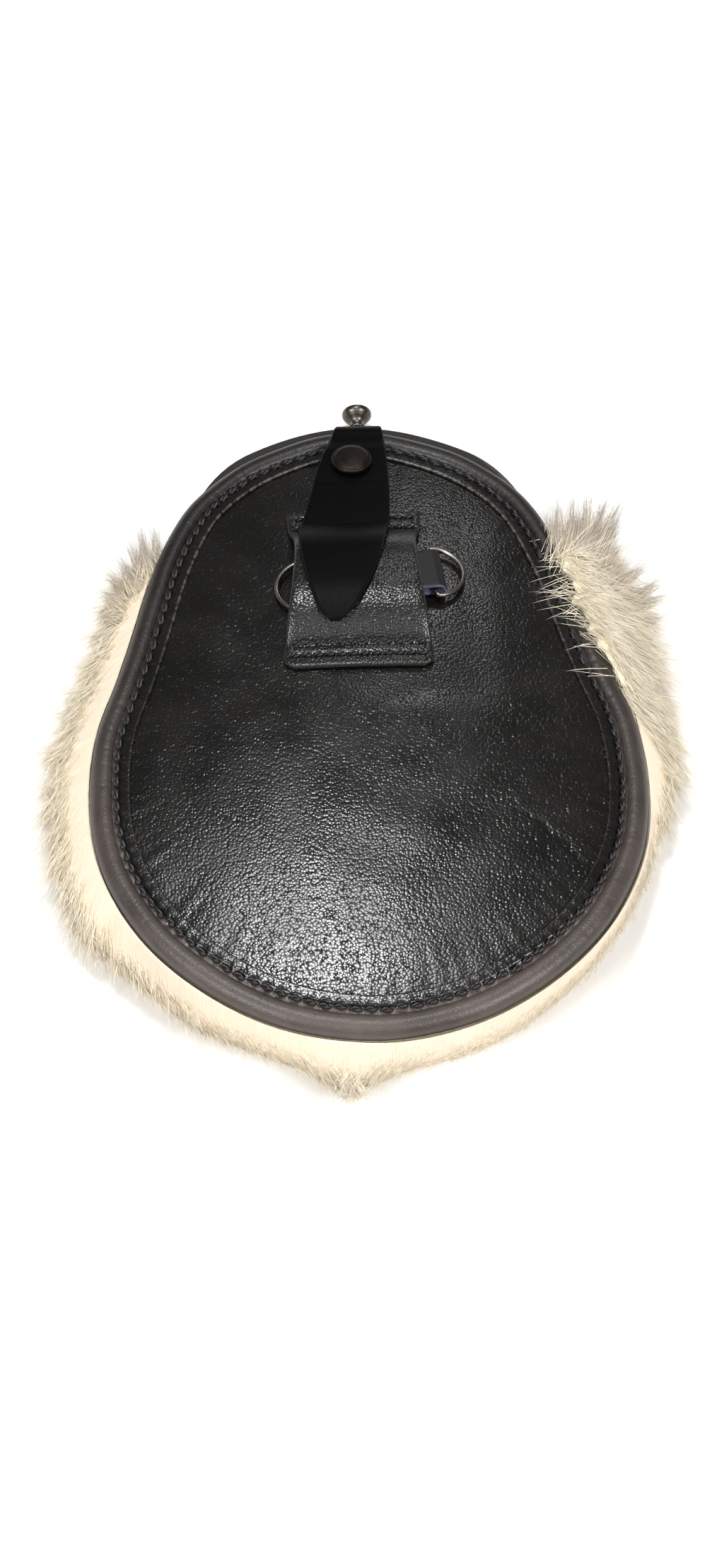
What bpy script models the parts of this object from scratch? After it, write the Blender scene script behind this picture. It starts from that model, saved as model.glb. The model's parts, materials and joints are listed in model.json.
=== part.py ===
"""A fur-fronted dress sporran pouch, lying on its fur front with its leather back up.

Metres, +Z up, +Y towards the top of the pouch, where its mouth and its metal cantle are.
The pieces are laid out round the middle of the pouch, and the last step moves them so that
the origin is under the middle of the whole, on the surface that the fur rests on.
"""

import math

import bmesh
import bpy
import numpy as np
from mathutils import Matrix, Vector

# The back's outline, and how much the pouch is padded
BACK_WIDTH = 0.156
BACK_HEIGHT = 0.2083
BACK_THICKNESS = 0.002
BACK_DOME = 0.007
CLEARANCE = 0.0003

# Half of the outline from the top down: half width and height above the bottom, as shares
OUTLINE = (
    # of half width, of height
    (0.000, 1.000),
    (0.360, 0.962),
    (0.637, 0.877),
    (0.782, 0.760),
    (0.854, 0.653),
    (0.915, 0.560),
    (0.982, 0.470),
    (1.000, 0.370),
    (0.958, 0.265),
    (0.822, 0.164),
    (0.605, 0.081),
    (0.323, 0.022),
    (0.000, 0.000),
)
MIDDLE_HEIGHT_SHARE = 0.470
ROUND_COLUMNS = 60

# The front, and the room inside the pouch at its bottom and at its mouth
FRONT_THICKNESS = 0.002
FRONT_INSET = 0.002
FRONT_RISE = 0.0117
FRONT_RISE_HALF_ANGLE = 42.0
FRONT_RISE_STEEPNESS = 1.6
INSIDE_DEPTH = 0.021
MOUTH_DEPTH = 0.008

# The rolled binding round the back's edge
BINDING_WIDTH = 0.0115
BINDING_LEATHER = 0.0012
BINDING_BITE = 0.003
ROLL_WIDTH = 0.0068
ROLL_RISE = 0.002
ROLL_DROP = 0.0046
BINDING_FOLD = 0.001
STITCH_INSET = 0.0076
STITCH_GROOVE = 0.0005
STITCH_GROOVE_WIDTH = 0.0022

# The gusset, from one end of the mouth round the bottom to the other
GUSSET_THICKNESS = 0.0015
GUSSET_INSET = 0.0044
GUSSET_BULGE = 0.0018
GUSSET_END_ANGLE = 52.0
GUSSET_COLUMNS = 48

# The fur: its hide under the front, and how far its locks reach past the binding
FUR_PRESSED = 0.0067
FUR_LENGTH = 0.018
FUR_LOCKS = 48
FUR_LOCK_VARIATION = 0.16
FUR_LOCK_SHAPE = (0.72, 1.00, 1.06)
FUR_TIP_HEIGHT = 0.012
FUR_TIP_DROOP = 0.2
FUR_WALL_INSET = 0.0015
FUR_ENDS_PROUD = 0.002
FUR_WALL_SECTION = (
    # outward: of the wall's inset, of the reach; height: of the hide, of the wall's top, of the tip
    (-1.07, 0.00, 1.00, 0.00, 0.00),
    (-1.00, 0.00, 1.09, 0.00, 0.00),
    (-1.00, 0.00, 0.50, 0.50, 0.00),
    (-1.00, 0.00, 0.00, 1.00, 0.00),
    (0.53, 0.00, 0.00, 1.01, 0.00),
    (0.80, 0.42, 0.00, 0.55, 0.45),
    (1.47, 0.80, 0.00, 0.00, 1.00),
    (0.67, 0.45, 0.00, 0.00, 0.28),
    (-3.33, 0.00, 0.00, 0.00, 0.00),
)
FUR_EDGE_SECTION = (
    # outward and height, of the hide
    (-0.150, 0.955),
    (-0.075, 0.940),
    (-0.030, 0.880),
    (0.000, 0.776),
    (0.015, 0.642),
    (0.030, 0.507),
    (0.030, 0.373),
    (-0.030, 0.164),
    (-0.360, 0.000),
)
FUR_REACH = (
    # angle round the pouch in degrees, share of the fur's length
    (-166, 1.00),
    (-155, 0.90),
    (-146, 0.88),
    (-135, 0.50),
    (-120, 0.40),
    (-106, 0.32),
    (-93, 0.46),
    (-80, 0.26),
    (-65, 0.24),
    (-50, 0.26),
    (-35, 0.36),
    (-20, 0.52),
    (-8, 0.90),
    (10, 0.95),
    (28, 1.10),
    (46, 1.00),
    (90, 0.80),
    (134, 0.95),
    (150, 0.85),
    (162, 0.86),
    (178, 1.05),
)
# Between these angles the fur's wall comes down under the cantle's ends, then follows its lower edge
FUR_WALL_ENDS = 42.5
FUR_WALL_GONE = 47.5
FUR_UNDER_CANTLE = 52.5

# The cantle and its knob
CANTLE_RIM = 0.0015
CANTLE_EDGE = 0.0022
CANTLE_CREST = 0.0036
CANTLE_MIDDLE_WIDTH = 0.044
CANTLE_END_WIDTH = 0.012
CANTLE_END_ANGLE = 53.5
CANTLE_END_RUN = 4.0
CANTLE_COLUMNS = 30
CANTLE_SHIFT = 0.0012
CANTLE_FUR_GAP = 0.002
KNOB_DIAMETER = 0.0094
KNOB_LENGTH = 0.0078

# The belt loop: a patch sewn at its top and bottom
LOOP_MIDDLE_X = -0.0016
LOOP_TOP = 0.0745
LOOP_LENGTH = 0.0588
LOOP_HALF_WIDTH = 0.0215
LOOP_LEATHER = 0.0018
LOOP_BULGE = 0.0085
LOOP_CREST_FLATNESS = 3.0
LOOP_FOOT_ROUNDNESS = 1.5
LOOP_SEWN = 0.0075
LOOP_OUTLINE = (
    # of length from the top, of half width
    (0.00, 0.94),
    (0.12, 0.92),
    (0.25, 0.85),
    (0.38, 0.83),
    (0.52, 0.86),
    (0.70, 0.92),
    (0.85, 0.98),
    (0.94, 1.00),
    (0.975, 0.97),
    (1.00, 0.86),
)

# The ring strap under it, and the rings
STRAP_LEATHER = 0.0012
STRAP_WIDTH = 0.0146
STRAP_FOLD = 0.0216
STRAP_RETURN = 0.011
STRAP_ROOM = 0.0024
STRAP_MIDDLE_X = 0.0025
STRAP_MIDDLE_Y = 0.0472
STRAP_TURN = 6.5
RING_WIRE = 0.0015
RING_LENGTH = 0.020
RING_BAR = 0.0184
RING_CORNER = 0.0012
RING_REST_TILT = 6.0

# The closure tab and the snap that holds it
TAB_LEATHER = 0.0016
TAB_ROOT = 0.028
TAB_SEWN = 0.014
TAB_TURN_CLEARANCE = 0.0005
TAB_SETTLE_SHARE = 0.11
TAB_STIFFNESS = 0.6
TAB_REST_GAP = 0.0006
TAB_TIP_Y = 0.0275
TAB_TIP_STANDS = 0.0025
TAB_OUTLINE = (
    # of the way from the fold to the tip, left edge and right edge as shares of the widest half
    (0.00, -0.46, 0.62),
    (0.08, -0.62, 0.68),
    (0.20, -0.86, 0.71),
    (0.40, -1.14, 0.72),
    (0.60, -1.38, 0.61),
    (0.70, -1.35, 0.48),
    (0.80, -1.25, 0.30),
    (0.89, -1.11, 0.05),
    (0.96, -0.94, -0.24),
    (1.00, -0.72, -0.52),
)
TAB_HALF_WIDTH = 0.0132
TAB_ROWS = 27
CAP_DIAMETER = 0.0122
CAP_HEIGHT = 0.0035
CAP_X = -0.0016
CAP_BELOW_EDGE = 0.0178
STUD_DIAMETER = 0.008
STUD_HEIGHT = 0.0018


# Curves and surfaces that the pieces share

def smooth(knots, values, at):
    """A cubic curve through values at rising knots, its slope at each one that of its neighbours."""
    knots = np.asarray(knots, float)
    values = np.asarray(values, float)
    slopes = np.gradient(values, knots)
    at = np.clip(at, knots[0], knots[-1])
    left = np.clip(np.searchsorted(knots, at, side="right") - 1, 0, len(knots) - 2)
    span = knots[left + 1] - knots[left]
    t = (at - knots[left]) / span
    return (
        values[left] * (1 + 2 * t) * (1 - t) ** 2
        + slopes[left] * span * t * (1 - t) ** 2
        + values[left + 1] * t**2 * (3 - 2 * t)
        + slopes[left + 1] * span * t**2 * (t - 1)
    )


def smooth_round(angles, values, at):
    """The same once round a circle, for angles in degrees."""
    angles = np.asarray(angles, float)
    values = np.asarray(values, float)
    knots = np.concatenate([angles[-3:] - 360, angles, angles[:3] + 360])
    looped = np.concatenate([values[-3:], values, values[:3]])
    return smooth(knots, looped, (np.asarray(at, float) - angles[0]) % 360 + angles[0])


def ease(t):
    """Rises smoothly from 0 to 1 while t does."""
    t = np.clip(t, 0, 1)
    return t * t * (3 - 2 * t)


def outline_table():
    """The outline's table as angles and radii round the pouch's middle, both halves."""
    across, up = np.array(OUTLINE).T
    x = across * BACK_WIDTH / 2
    y = (up - MIDDLE_HEIGHT_SHARE) * BACK_HEIGHT
    angles = np.degrees(np.arctan2(y, x))
    radii = np.hypot(x, y)
    angles = np.concatenate([angles[::-1], 180 - angles[1:-1]])
    radii = np.concatenate([radii[::-1], radii[1:-1]])
    return angles, radii


OUTLINE_ANGLES, OUTLINE_RADII = outline_table()
TOP_Y = (1 - MIDDLE_HEIGHT_SHARE) * BACK_HEIGHT
BOTTOM_Y = -MIDDLE_HEIGHT_SHARE * BACK_HEIGHT
FRONT_UNDER_Z = FUR_PRESSED + CLEARANCE
FRONT_Z = FRONT_UNDER_Z + FRONT_THICKNESS
CANTLE_BACK_Z = FRONT_UNDER_Z - CLEARANCE


def outline_radius(angle):
    return smooth_round(OUTLINE_ANGLES, OUTLINE_RADII, angle)


def at_angle(angle, radius):
    """The place at an angle in degrees and a distance from the pouch's middle."""
    turn = np.radians(angle)
    return radius * np.cos(turn), radius * np.sin(turn)


def edge(angle, outward):
    """The place that lies outward of the outline, square to it, where an angle's ray meets it."""
    angle = np.asarray(angle, float)
    x, y = at_angle(angle, outline_radius(angle))
    x0, y0 = at_angle(angle - 1.5, outline_radius(angle - 1.5))
    x1, y1 = at_angle(angle + 1.5, outline_radius(angle + 1.5))
    along = np.hypot(x1 - x0, y1 - y0)
    return x + outward * (y1 - y0) / along, y - outward * (x1 - x0) / along


def outline_share(x, y):
    """How far out a place is: 0 in the middle of the pouch and 1 at its outline."""
    return np.hypot(x, y) / outline_radius(np.degrees(np.arctan2(y, x)))


def inside_height(y):
    """The room between front and back at the edge, from the bottom to the mouth."""
    return INSIDE_DEPTH + (MOUTH_DEPTH - INSIDE_DEPTH) * (y - BOTTOM_Y) / BACK_HEIGHT


def back_z(x, y):
    """The back's outer face: a slope from the bottom down to the mouth, crowned in the middle."""
    crown = BACK_DOME * (1 - np.minimum(outline_share(x, y), 1) ** 2)
    return FRONT_Z + inside_height(y) + BACK_THICKNESS + crown


def from_top(angle):
    """The angle's distance from the top of the pouch, either way round, in degrees."""
    return np.abs((np.asarray(angle, float) + 90) % 360 - 180)


def front_outward(angle):
    """How far outside of the back's outline the front's edge is: it stands higher at the mouth."""
    rise = FRONT_RISE_STEEPNESS * (1 - from_top(angle) / FRONT_RISE_HALF_ANGLE)
    return -FRONT_INSET + FRONT_RISE * ease(rise)


def cantle_outward(angle):
    return front_outward(angle) + CANTLE_RIM


def cantle_width(angle):
    """The cantle's width from its rim inwards: narrow at its ends, deep in the middle."""
    middle = ease(1 - from_top(angle) / (90 - CANTLE_END_ANGLE + CANTLE_END_RUN))
    return CANTLE_END_WIDTH + (CANTLE_MIDDLE_WIDTH - CANTLE_END_WIDTH) * middle


def loop_bulge(y):
    """How far the belt loop stands off the back between its two sewn ends."""
    half = LOOP_LENGTH / 2 - LOOP_SEWN
    middle = LOOP_TOP - LOOP_LENGTH / 2
    across = np.clip(np.abs(y - middle) / half, 0, 1)
    return LOOP_BULGE * (1 - across**LOOP_CREST_FLATNESS) ** LOOP_FOOT_ROUNDNESS


# Meshes from rows of points

def new_object(name, mesh, material, smooth_angle=40.0):
    mesh.materials.append(material)
    mesh.shade_smooth()
    mesh.set_sharp_from_angle(angle=math.radians(smooth_angle))
    piece = bpy.data.objects.new(name, mesh)
    bpy.context.scene.collection.objects.link(piece)
    return piece


def grid_mesh(name, points, path_closed=False, section_closed=False, poles=(False, False)):
    """Faces over a grid of points, rows along a path and columns across it.

    A grid that closes across its path, but not along it, is capped at both ends. Poles are
    single points that stand for the whole first or last column.
    """
    points = np.asarray(points, float)
    rows, columns = points.shape[:2]
    built = bmesh.new()
    verts = [[built.verts.new(points[i, j]) for j in range(columns)] for i in range(rows)]
    for j, is_pole in ((0, poles[0]), (columns - 1, poles[1])):
        for i in range(1, rows):
            if is_pole:
                built.verts.remove(verts[i][j])
                verts[i][j] = verts[0][j]
    row_steps = rows if path_closed else rows - 1
    column_steps = columns if section_closed else columns - 1
    for i in range(row_steps):
        for j in range(column_steps):
            after_i = (i + 1) % rows
            after_j = (j + 1) % columns
            corners = (verts[i][j], verts[after_i][j], verts[after_i][after_j], verts[i][after_j])
            built.faces.new(list(dict.fromkeys(corners)))
    if section_closed and not path_closed:
        built.faces.new(verts[0])
        built.faces.new(verts[-1][::-1])
    if (section_closed or all(poles)) and (path_closed or section_closed):
        bmesh.ops.recalc_face_normals(built, faces=built.faces)
    mesh = bpy.data.meshes.new(name)
    built.to_mesh(mesh)
    built.free()
    return mesh


def thicken(piece, thickness, offset):
    """Give a sheet its leather's thickness, to the side that offset says."""
    solid = piece.modifiers.new("Leather", "SOLIDIFY")
    solid.thickness = thickness
    solid.offset = offset
    solid.use_even_offset = True


def turned_mesh(name, profile, steps):
    """A profile of radius and height turned round Z, with its two ends on the axis."""
    built = bmesh.new()
    verts = [built.verts.new((radius, 0, height)) for radius, height in profile]
    edges = [built.edges.new(pair) for pair in zip(verts, verts[1:])]
    bmesh.ops.spin(
        built,
        geom=verts + edges,
        cent=(0, 0, 0),
        axis=(0, 0, 1),
        angle=math.tau,
        steps=steps,
        use_merge=True,
    )
    bmesh.ops.remove_doubles(built, verts=built.verts, dist=1e-6)
    bmesh.ops.recalc_face_normals(built, faces=built.faces)
    mesh = bpy.data.meshes.new(name)
    built.to_mesh(mesh)
    built.free()
    return mesh


def surface_frame(x, y, height_at, turn=0.0):
    """A matrix that stands on a surface at a place: X along turn, Z square to the surface."""
    step = 0.001
    across = Vector((math.cos(turn), math.sin(turn)))
    x_step = across * step
    rise_x = float(height_at(x + x_step.x, y + x_step.y) - height_at(x - x_step.x, y - x_step.y))
    rise_y = float(height_at(x - x_step.y, y + x_step.x) - height_at(x + x_step.y, y - x_step.x))
    along_x = Vector((across.x, across.y, rise_x / (2 * step))).normalized()
    along_y = Vector((-across.y, across.x, rise_y / (2 * step))).normalized()
    up = along_x.cross(along_y).normalized()
    along_x = along_y.cross(up)
    frame = Matrix((along_x, along_y, up)).transposed().to_4x4()
    frame.translation = (x, y, float(height_at(x, y)))
    return frame


def material(name, colour, roughness, metallic=0.0):
    made = bpy.data.materials.new(name)
    made.use_nodes = True
    shader = made.node_tree.nodes["Principled BSDF"]
    shader.inputs["Base Color"].default_value = (*colour, 1.0)
    shader.inputs["Roughness"].default_value = roughness
    shader.inputs["Metallic"].default_value = metallic
    made.diffuse_color = (*colour, 1.0)
    return made


# The pouch

def make_back_panel():
    angles = np.arange(ROUND_COLUMNS) * 360 / ROUND_COLUMNS
    rings = [at_angle(angles, share * outline_radius(angles)) for share in (0, 0.3, 0.55, 0.75, 0.88)]
    rings.append(edge(angles, -BINDING_BITE))
    x, y = np.array(rings).transpose(1, 2, 0)
    points = np.stack([x, y, back_z(x, y)], axis=-1)
    mesh = grid_mesh("back_panel", points[::-1], path_closed=True, poles=(True, False))
    panel = new_object("back_panel", mesh, material("grained_leather", (0.012, 0.010, 0.010), 0.42))
    thicken(panel, BACK_THICKNESS, -1)


def binding_section():
    """Outward place and rise above the back's face, once round the folded leather."""
    top = CLEARANCE + BINDING_LEATHER
    middle = -ROLL_WIDTH / 2
    height = (ROLL_RISE - ROLL_DROP) / 2
    half_height = (ROLL_RISE + ROLL_DROP) / 2
    turns = np.radians((112, 72, 32, -8, -48, -84))
    roll = [(middle - middle * math.cos(t), height + half_height * math.sin(t)) for t in turns]
    under = -BACK_THICKNESS - CLEARANCE
    slot = -BINDING_BITE + CLEARANCE
    hook = slot - BINDING_FOLD
    return [
        (-BINDING_WIDTH, CLEARANCE),
        (-BINDING_WIDTH, top),
        (-STITCH_INSET - STITCH_GROOVE_WIDTH / 2, top),
        (-STITCH_INSET, top - STITCH_GROOVE),
        (-STITCH_INSET + STITCH_GROOVE_WIDTH / 2, top),
        *roll,
        (hook, -ROLL_DROP),
        (hook, under),
        (slot, under),
        (slot, CLEARANCE),
    ]


def make_edge_binding():
    angles = np.arange(ROUND_COLUMNS) * 360 / ROUND_COLUMNS
    outward, rise = np.array(binding_section()).T
    x, y = edge(angles[:, None], outward[None, :])
    points = np.stack([x, y, back_z(x, y) + rise], axis=-1)
    mesh = grid_mesh("edge_binding", points, path_closed=True, section_closed=True)
    new_object("edge_binding", mesh, material("smooth_leather", (0.020, 0.017, 0.016), 0.5))


def make_front_panel():
    angles = np.arange(ROUND_COLUMNS) * 360 / ROUND_COLUMNS
    x, y = np.array([(angles * 0, angles * 0), edge(angles, front_outward(angles))]).transpose(1, 2, 0)
    points = np.stack([x, y, np.full_like(x, FRONT_Z)], axis=-1)
    mesh = grid_mesh("front_panel", points[::-1], path_closed=True, poles=(True, False))
    panel = new_object("front_panel", mesh, material("front_leather", (0.022, 0.017, 0.015), 0.6))
    thicken(panel, FRONT_THICKNESS, -1)


def make_gusset():
    angles = np.linspace(-180 - GUSSET_END_ANGLE, GUSSET_END_ANGLE, GUSSET_COLUMNS)
    levels = np.linspace(0, 1, 4)
    room = inside_height(edge(angles, 0)[1]) / INSIDE_DEPTH
    outward = -GUSSET_INSET + GUSSET_BULGE * room[:, None] ** 2 * np.sin(np.pi * levels)
    x, y = edge(angles[:, None], outward)
    low = FRONT_Z + CLEARANCE
    high = back_z(x, y) - BACK_THICKNESS - 2 * CLEARANCE
    points = np.stack([x, y, low + (high - low) * levels], axis=-1)
    mesh = grid_mesh("gusset", points)
    wall = new_object("gusset", mesh, material("gusset_leather", (0.020, 0.016, 0.015), 0.55))
    thicken(wall, GUSSET_THICKNESS, -1)


# The fur

def fur_profiles(angles, reach):
    """The fur's section at each angle, from its hide's inner face over the tips to its underside.

    Each row is a place outward of the outline and a height. Where there is a wall of fur, the
    section is the first kind. Under the cantle's ends it is pressed down, and then drawn in to
    the cantle's lower edge.
    """
    wall_top = back_z(*edge(angles, -FUR_WALL_INSET)) - ROLL_DROP - 2 * CLEARANCE
    tip = FUR_TIP_HEIGHT * (1 - FUR_TIP_DROOP * (1 - reach / FUR_LENGTH))
    of_inset, of_reach, of_hide, of_top, of_tip = np.array(FUR_WALL_SECTION).T[:, None]
    wall_out = of_inset * FUR_WALL_INSET + of_reach * reach[:, None]
    wall_height = of_hide * FUR_PRESSED + of_top * wall_top[:, None] + of_tip * tip[:, None]
    wall = np.stack([wall_out, wall_height], axis=-1)
    raised = 90 - from_top(angles)
    lowered = np.clip((raised - FUR_WALL_ENDS) / (FUR_WALL_GONE - FUR_WALL_ENDS), 0, 1)
    drawn_in = np.clip((raised - FUR_WALL_GONE) / (FUR_UNDER_CANTLE - FUR_WALL_GONE), 0, 1)
    under_cantle = cantle_outward(angles) - cantle_width(angles) - CANTLE_FUR_GAP
    outward = FUR_ENDS_PROUD + (under_cantle - FUR_ENDS_PROUD) * drawn_in
    flat = np.repeat(FUR_PRESSED * np.array(FUR_EDGE_SECTION)[None], len(angles), axis=0)
    flat[..., 0] += outward[:, None]
    return wall + (flat - wall) * lowered[:, None, None]


def make_fur():
    columns = len(FUR_LOCK_SHAPE) * FUR_LOCKS
    angles = np.arange(columns) * 360 / columns
    table_angles, shares = np.array(FUR_REACH, float).T
    reach = FUR_LENGTH * smooth_round(table_angles, shares, angles)
    rng = np.random.default_rng(11)
    lock = np.repeat(1 + FUR_LOCK_VARIATION * rng.uniform(-1, 1, FUR_LOCKS), len(FUR_LOCK_SHAPE))
    place_in_lock = np.tile(FUR_LOCK_SHAPE, FUR_LOCKS)
    profiles = fur_profiles(angles, reach * lock * place_in_lock)
    x, y = edge(angles[:, None], profiles[..., 0])
    z = profiles[..., 1]
    middle_x, middle_y = at_angle(angles, 0.5 * outline_radius(angles))
    hide = np.full_like(middle_x, FUR_PRESSED)
    nothing = np.zeros_like(middle_x)
    sheet = [(nothing, nothing, hide), (middle_x, middle_y, hide)]
    underside = [(middle_x, middle_y, nothing), (nothing, nothing, nothing)]
    section = [*sheet, *zip(x.T, y.T, z.T), *underside]
    points = np.array(section).transpose(2, 0, 1)
    mesh = grid_mesh("fur", points, path_closed=True, poles=(True, True))
    new_object("fur", mesh, material("cream_fur", (0.83, 0.76, 0.63), 0.9), smooth_angle=60)


# The metal at the mouth

def make_cantle():
    angles = np.linspace(CANTLE_END_ANGLE, 180 - CANTLE_END_ANGLE, CANTLE_COLUMNS)
    across = np.array((0, 0, 0.1, 0.28, 0.5, 0.72, 0.9, 1, 1))
    depth = CANTLE_EDGE + CANTLE_CREST * np.sin(np.pi * across) ** 0.8
    depth[[0, -1]] = 0
    outward = cantle_outward(angles)[:, None] - cantle_width(angles)[:, None] * across
    x, y = edge(angles[:, None], outward)
    z = np.broadcast_to(CANTLE_BACK_Z - depth, x.shape)
    points = np.stack([x + CANTLE_SHIFT, y, z], axis=-1)
    mesh = grid_mesh("cantle", points, section_closed=True)
    new_object("cantle", mesh, material("nickel_silver", (0.62, 0.60, 0.56), 0.22, 1.0))


def make_cantle_knob():
    radius = KNOB_DIAMETER / 2
    profile = (
        # of radius, of length
        (0.00, 0.00),
        (0.62, 0.00),
        (0.62, 0.09),
        (0.44, 0.15),
        (0.40, 0.28),
        (0.52, 0.40),
        (0.86, 0.60),
        (1.00, 0.74),
        (0.99, 0.84),
        (0.90, 0.92),
        (0.50, 0.98),
        (0.00, 1.00),
    )
    mesh = turned_mesh("cantle_knob", [(r * radius, h * KNOB_LENGTH) for r, h in profile], 24)
    knob = new_object("cantle_knob", mesh, material("pewter", (0.34, 0.32, 0.30), 0.28, 1.0))
    seat_y = TOP_Y + float(cantle_outward(90)) + CLEARANCE
    knob.location = (CANTLE_SHIFT, seat_y, CANTLE_BACK_Z - CANTLE_EDGE / 2)
    knob.rotation_euler = (-math.pi / 2, 0, 0)


# Belt loop, strap and rings

def make_belt_loop():
    shares = np.linspace(0, 1, 21)
    down, half = np.array(LOOP_OUTLINE).T
    half_width = LOOP_HALF_WIDTH * smooth(down, half, shares)
    x = LOOP_MIDDLE_X + half_width[:, None] * np.linspace(-1, 1, 7)
    y = LOOP_TOP - LOOP_LENGTH * np.broadcast_to(shares[:, None], x.shape)
    points = np.stack([x, y, back_z(x, y) + CLEARANCE + loop_bulge(y)], axis=-1)
    mesh = grid_mesh("belt_loop", points)
    patch = new_object("belt_loop", mesh, material("grained_patch", (0.013, 0.011, 0.011), 0.42))
    thicken(patch, LOOP_LEATHER, 1)


def strap_place(along, across):
    """A place on the strap's middle line and beside it, in the pouch's plane."""
    turn = math.radians(STRAP_TURN)
    x = STRAP_MIDDLE_X + along * math.cos(turn) - across * math.sin(turn)
    y = STRAP_MIDDLE_Y + along * math.sin(turn) + across * math.cos(turn)
    return x, y


def make_ring_strap():
    radius = (STRAP_LEATHER + STRAP_ROOM) / 2
    low = CLEARANCE + STRAP_LEATHER / 2
    fold_middle = STRAP_FOLD - STRAP_LEATHER / 2 - radius
    turns = np.radians(np.linspace(90, -90, 9))
    fold = [(fold_middle + radius * math.cos(t), low + radius + radius * math.sin(t)) for t in turns]
    half = [(STRAP_RETURN, low + 2 * radius), *fold, (fold_middle / 2, low), (0, low)]
    path = np.array(half + [(-along, rise) for along, rise in half[-2::-1]])
    x, y = strap_place(path[:, :1], np.linspace(-0.5, 0.5, 3) * STRAP_WIDTH)
    points = np.stack([x, y, back_z(x, y) + path[:, 1:]], axis=-1)
    mesh = grid_mesh("ring_strap", points)
    strap = new_object("ring_strap", mesh, material("strap_leather", (0.030, 0.027, 0.027), 0.5))
    thicken(strap, STRAP_LEATHER, 0)


def ring_points():
    """The wire's middle line: a straight bar on Y through the origin and a round bow to +X."""
    half = (RING_LENGTH - RING_WIRE) / 2
    turns = np.radians(np.linspace(-78, 78, 19))
    bow = [(half * math.cos(t), half * math.sin(t)) for t in turns]
    ends = [(0, half - RING_CORNER), (0.25 * RING_CORNER, half - 0.3 * RING_CORNER)]
    return bow + ends[::-1] + [(x, -y) for x, y in ends]


def make_ring(name, side, metal):
    """A D-ring with its origin on its bar, which lies in the strap's fold."""
    curve = bpy.data.curves.new(name, "CURVE")
    curve.dimensions = "3D"
    curve.bevel_depth = RING_WIRE / 2
    curve.bevel_resolution = 1
    wire = curve.splines.new("POLY")
    points = ring_points()
    wire.points.add(len(points) - 1)
    for point, (x, y) in zip(wire.points, points):
        point.co = (x, y, 0, 1)
    wire.use_cyclic_u = True
    curve.materials.append(metal)
    ring = bpy.data.objects.new(name, curve)
    bpy.context.scene.collection.objects.link(ring)
    bar_height = CLEARANCE + STRAP_LEATHER + STRAP_ROOM / 2
    x, y = strap_place(side * RING_BAR, 0)
    turn = math.radians(STRAP_TURN) + (0 if side > 0 else math.pi)
    frame = surface_frame(x, y, lambda px, py: back_z(px, py) + bar_height, turn)
    ring.matrix_world = frame @ Matrix.Rotation(math.radians(RING_REST_TILT), 4, "Y")


def make_rings():
    metal = material("steel_wire", (0.42, 0.40, 0.39), 0.3, 1.0)
    make_ring("d_ring_left", -1, metal)
    make_ring("d_ring_right", 1, metal)


# The closure tab and its snap

def tab_lift(y):
    """The gap under the tab on the back: over the snap's stud and the belt loop's outer face."""
    step = 0.0005
    crest = LOOP_TOP - LOOP_LENGTH / 2
    slope = (loop_bulge(y + step) - loop_bulge(y - step)) / (2 * step)
    patch = loop_bulge(y) + LOOP_LEATHER * np.sqrt(1 + slope**2)
    below = np.clip((crest - y) / (crest - TAB_TIP_Y), 0, 1)
    stiff = LOOP_LEATHER + LOOP_BULGE - (LOOP_BULGE - TAB_TIP_STANDS) * TAB_STIFFNESS * below**2
    return CLEARANCE + TAB_REST_GAP + np.where(y < crest, np.maximum(patch, stiff), patch)


def tab_inner_z(x, y):
    """The tab's face towards the back, which is as high as the crown at the middle line."""
    return back_z(0 * x, y) + tab_lift(y)


def tab_path():
    """The tab's inner face in the pouch, round the binding and down the back to its tip."""
    turn_y = TOP_Y - ROLL_WIDTH / 2
    turn_z = float(back_z(0, TOP_Y)) + (ROLL_RISE - ROLL_DROP) / 2
    radius = ROLL_WIDTH / 2 + TAB_TURN_CLEARANCE
    turns = np.radians(np.linspace(-90, 90, 11))
    bend = [(turn_y + radius * math.cos(t), turn_z + radius * math.sin(t)) for t in turns]
    root_z = FRONT_Z + CLEARANCE + TAB_LEATHER
    root_y = TOP_Y - TAB_ROOT
    inside = [(root_y, root_z), (root_y + TAB_SEWN, root_z)]
    shares = np.linspace(0, 1, TAB_ROWS)[1:]
    y = turn_y + (TAB_TIP_Y - turn_y) * shares
    settle = ease(1 - shares / TAB_SETTLE_SHARE)
    z = tab_inner_z(0 * y, y)
    z = z + (turn_z + radius - z) * settle
    return np.array(inside + bend + list(zip(y, z)))


def tab_edges(y):
    """Left and right edge of the tab, from its fold to its tip."""
    share = (TOP_Y - y) / (TOP_Y - TAB_TIP_Y)
    down, left, right = np.array(TAB_OUTLINE).T
    return TAB_HALF_WIDTH * smooth(down, left, share), TAB_HALF_WIDTH * smooth(down, right, share)


def make_closure_tab():
    path = tab_path()
    outermost = np.argmax(path[:, 0])
    left, right = tab_edges(path[:, 0])
    left[:outermost] = left[outermost]
    right[:outermost] = right[outermost]
    across = np.linspace(0, 1, 4)
    x = left[:, None] + (right - left)[:, None] * across
    y = np.broadcast_to(path[:, :1], x.shape)
    z = np.broadcast_to(path[:, 1:], x.shape)
    mesh = grid_mesh("closure_tab", np.stack([x, y, z], axis=-1))
    tab = new_object("closure_tab", mesh, material("tab_leather", (0.008, 0.007, 0.007), 0.4))
    thicken(tab, TAB_LEATHER, 1)


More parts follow.
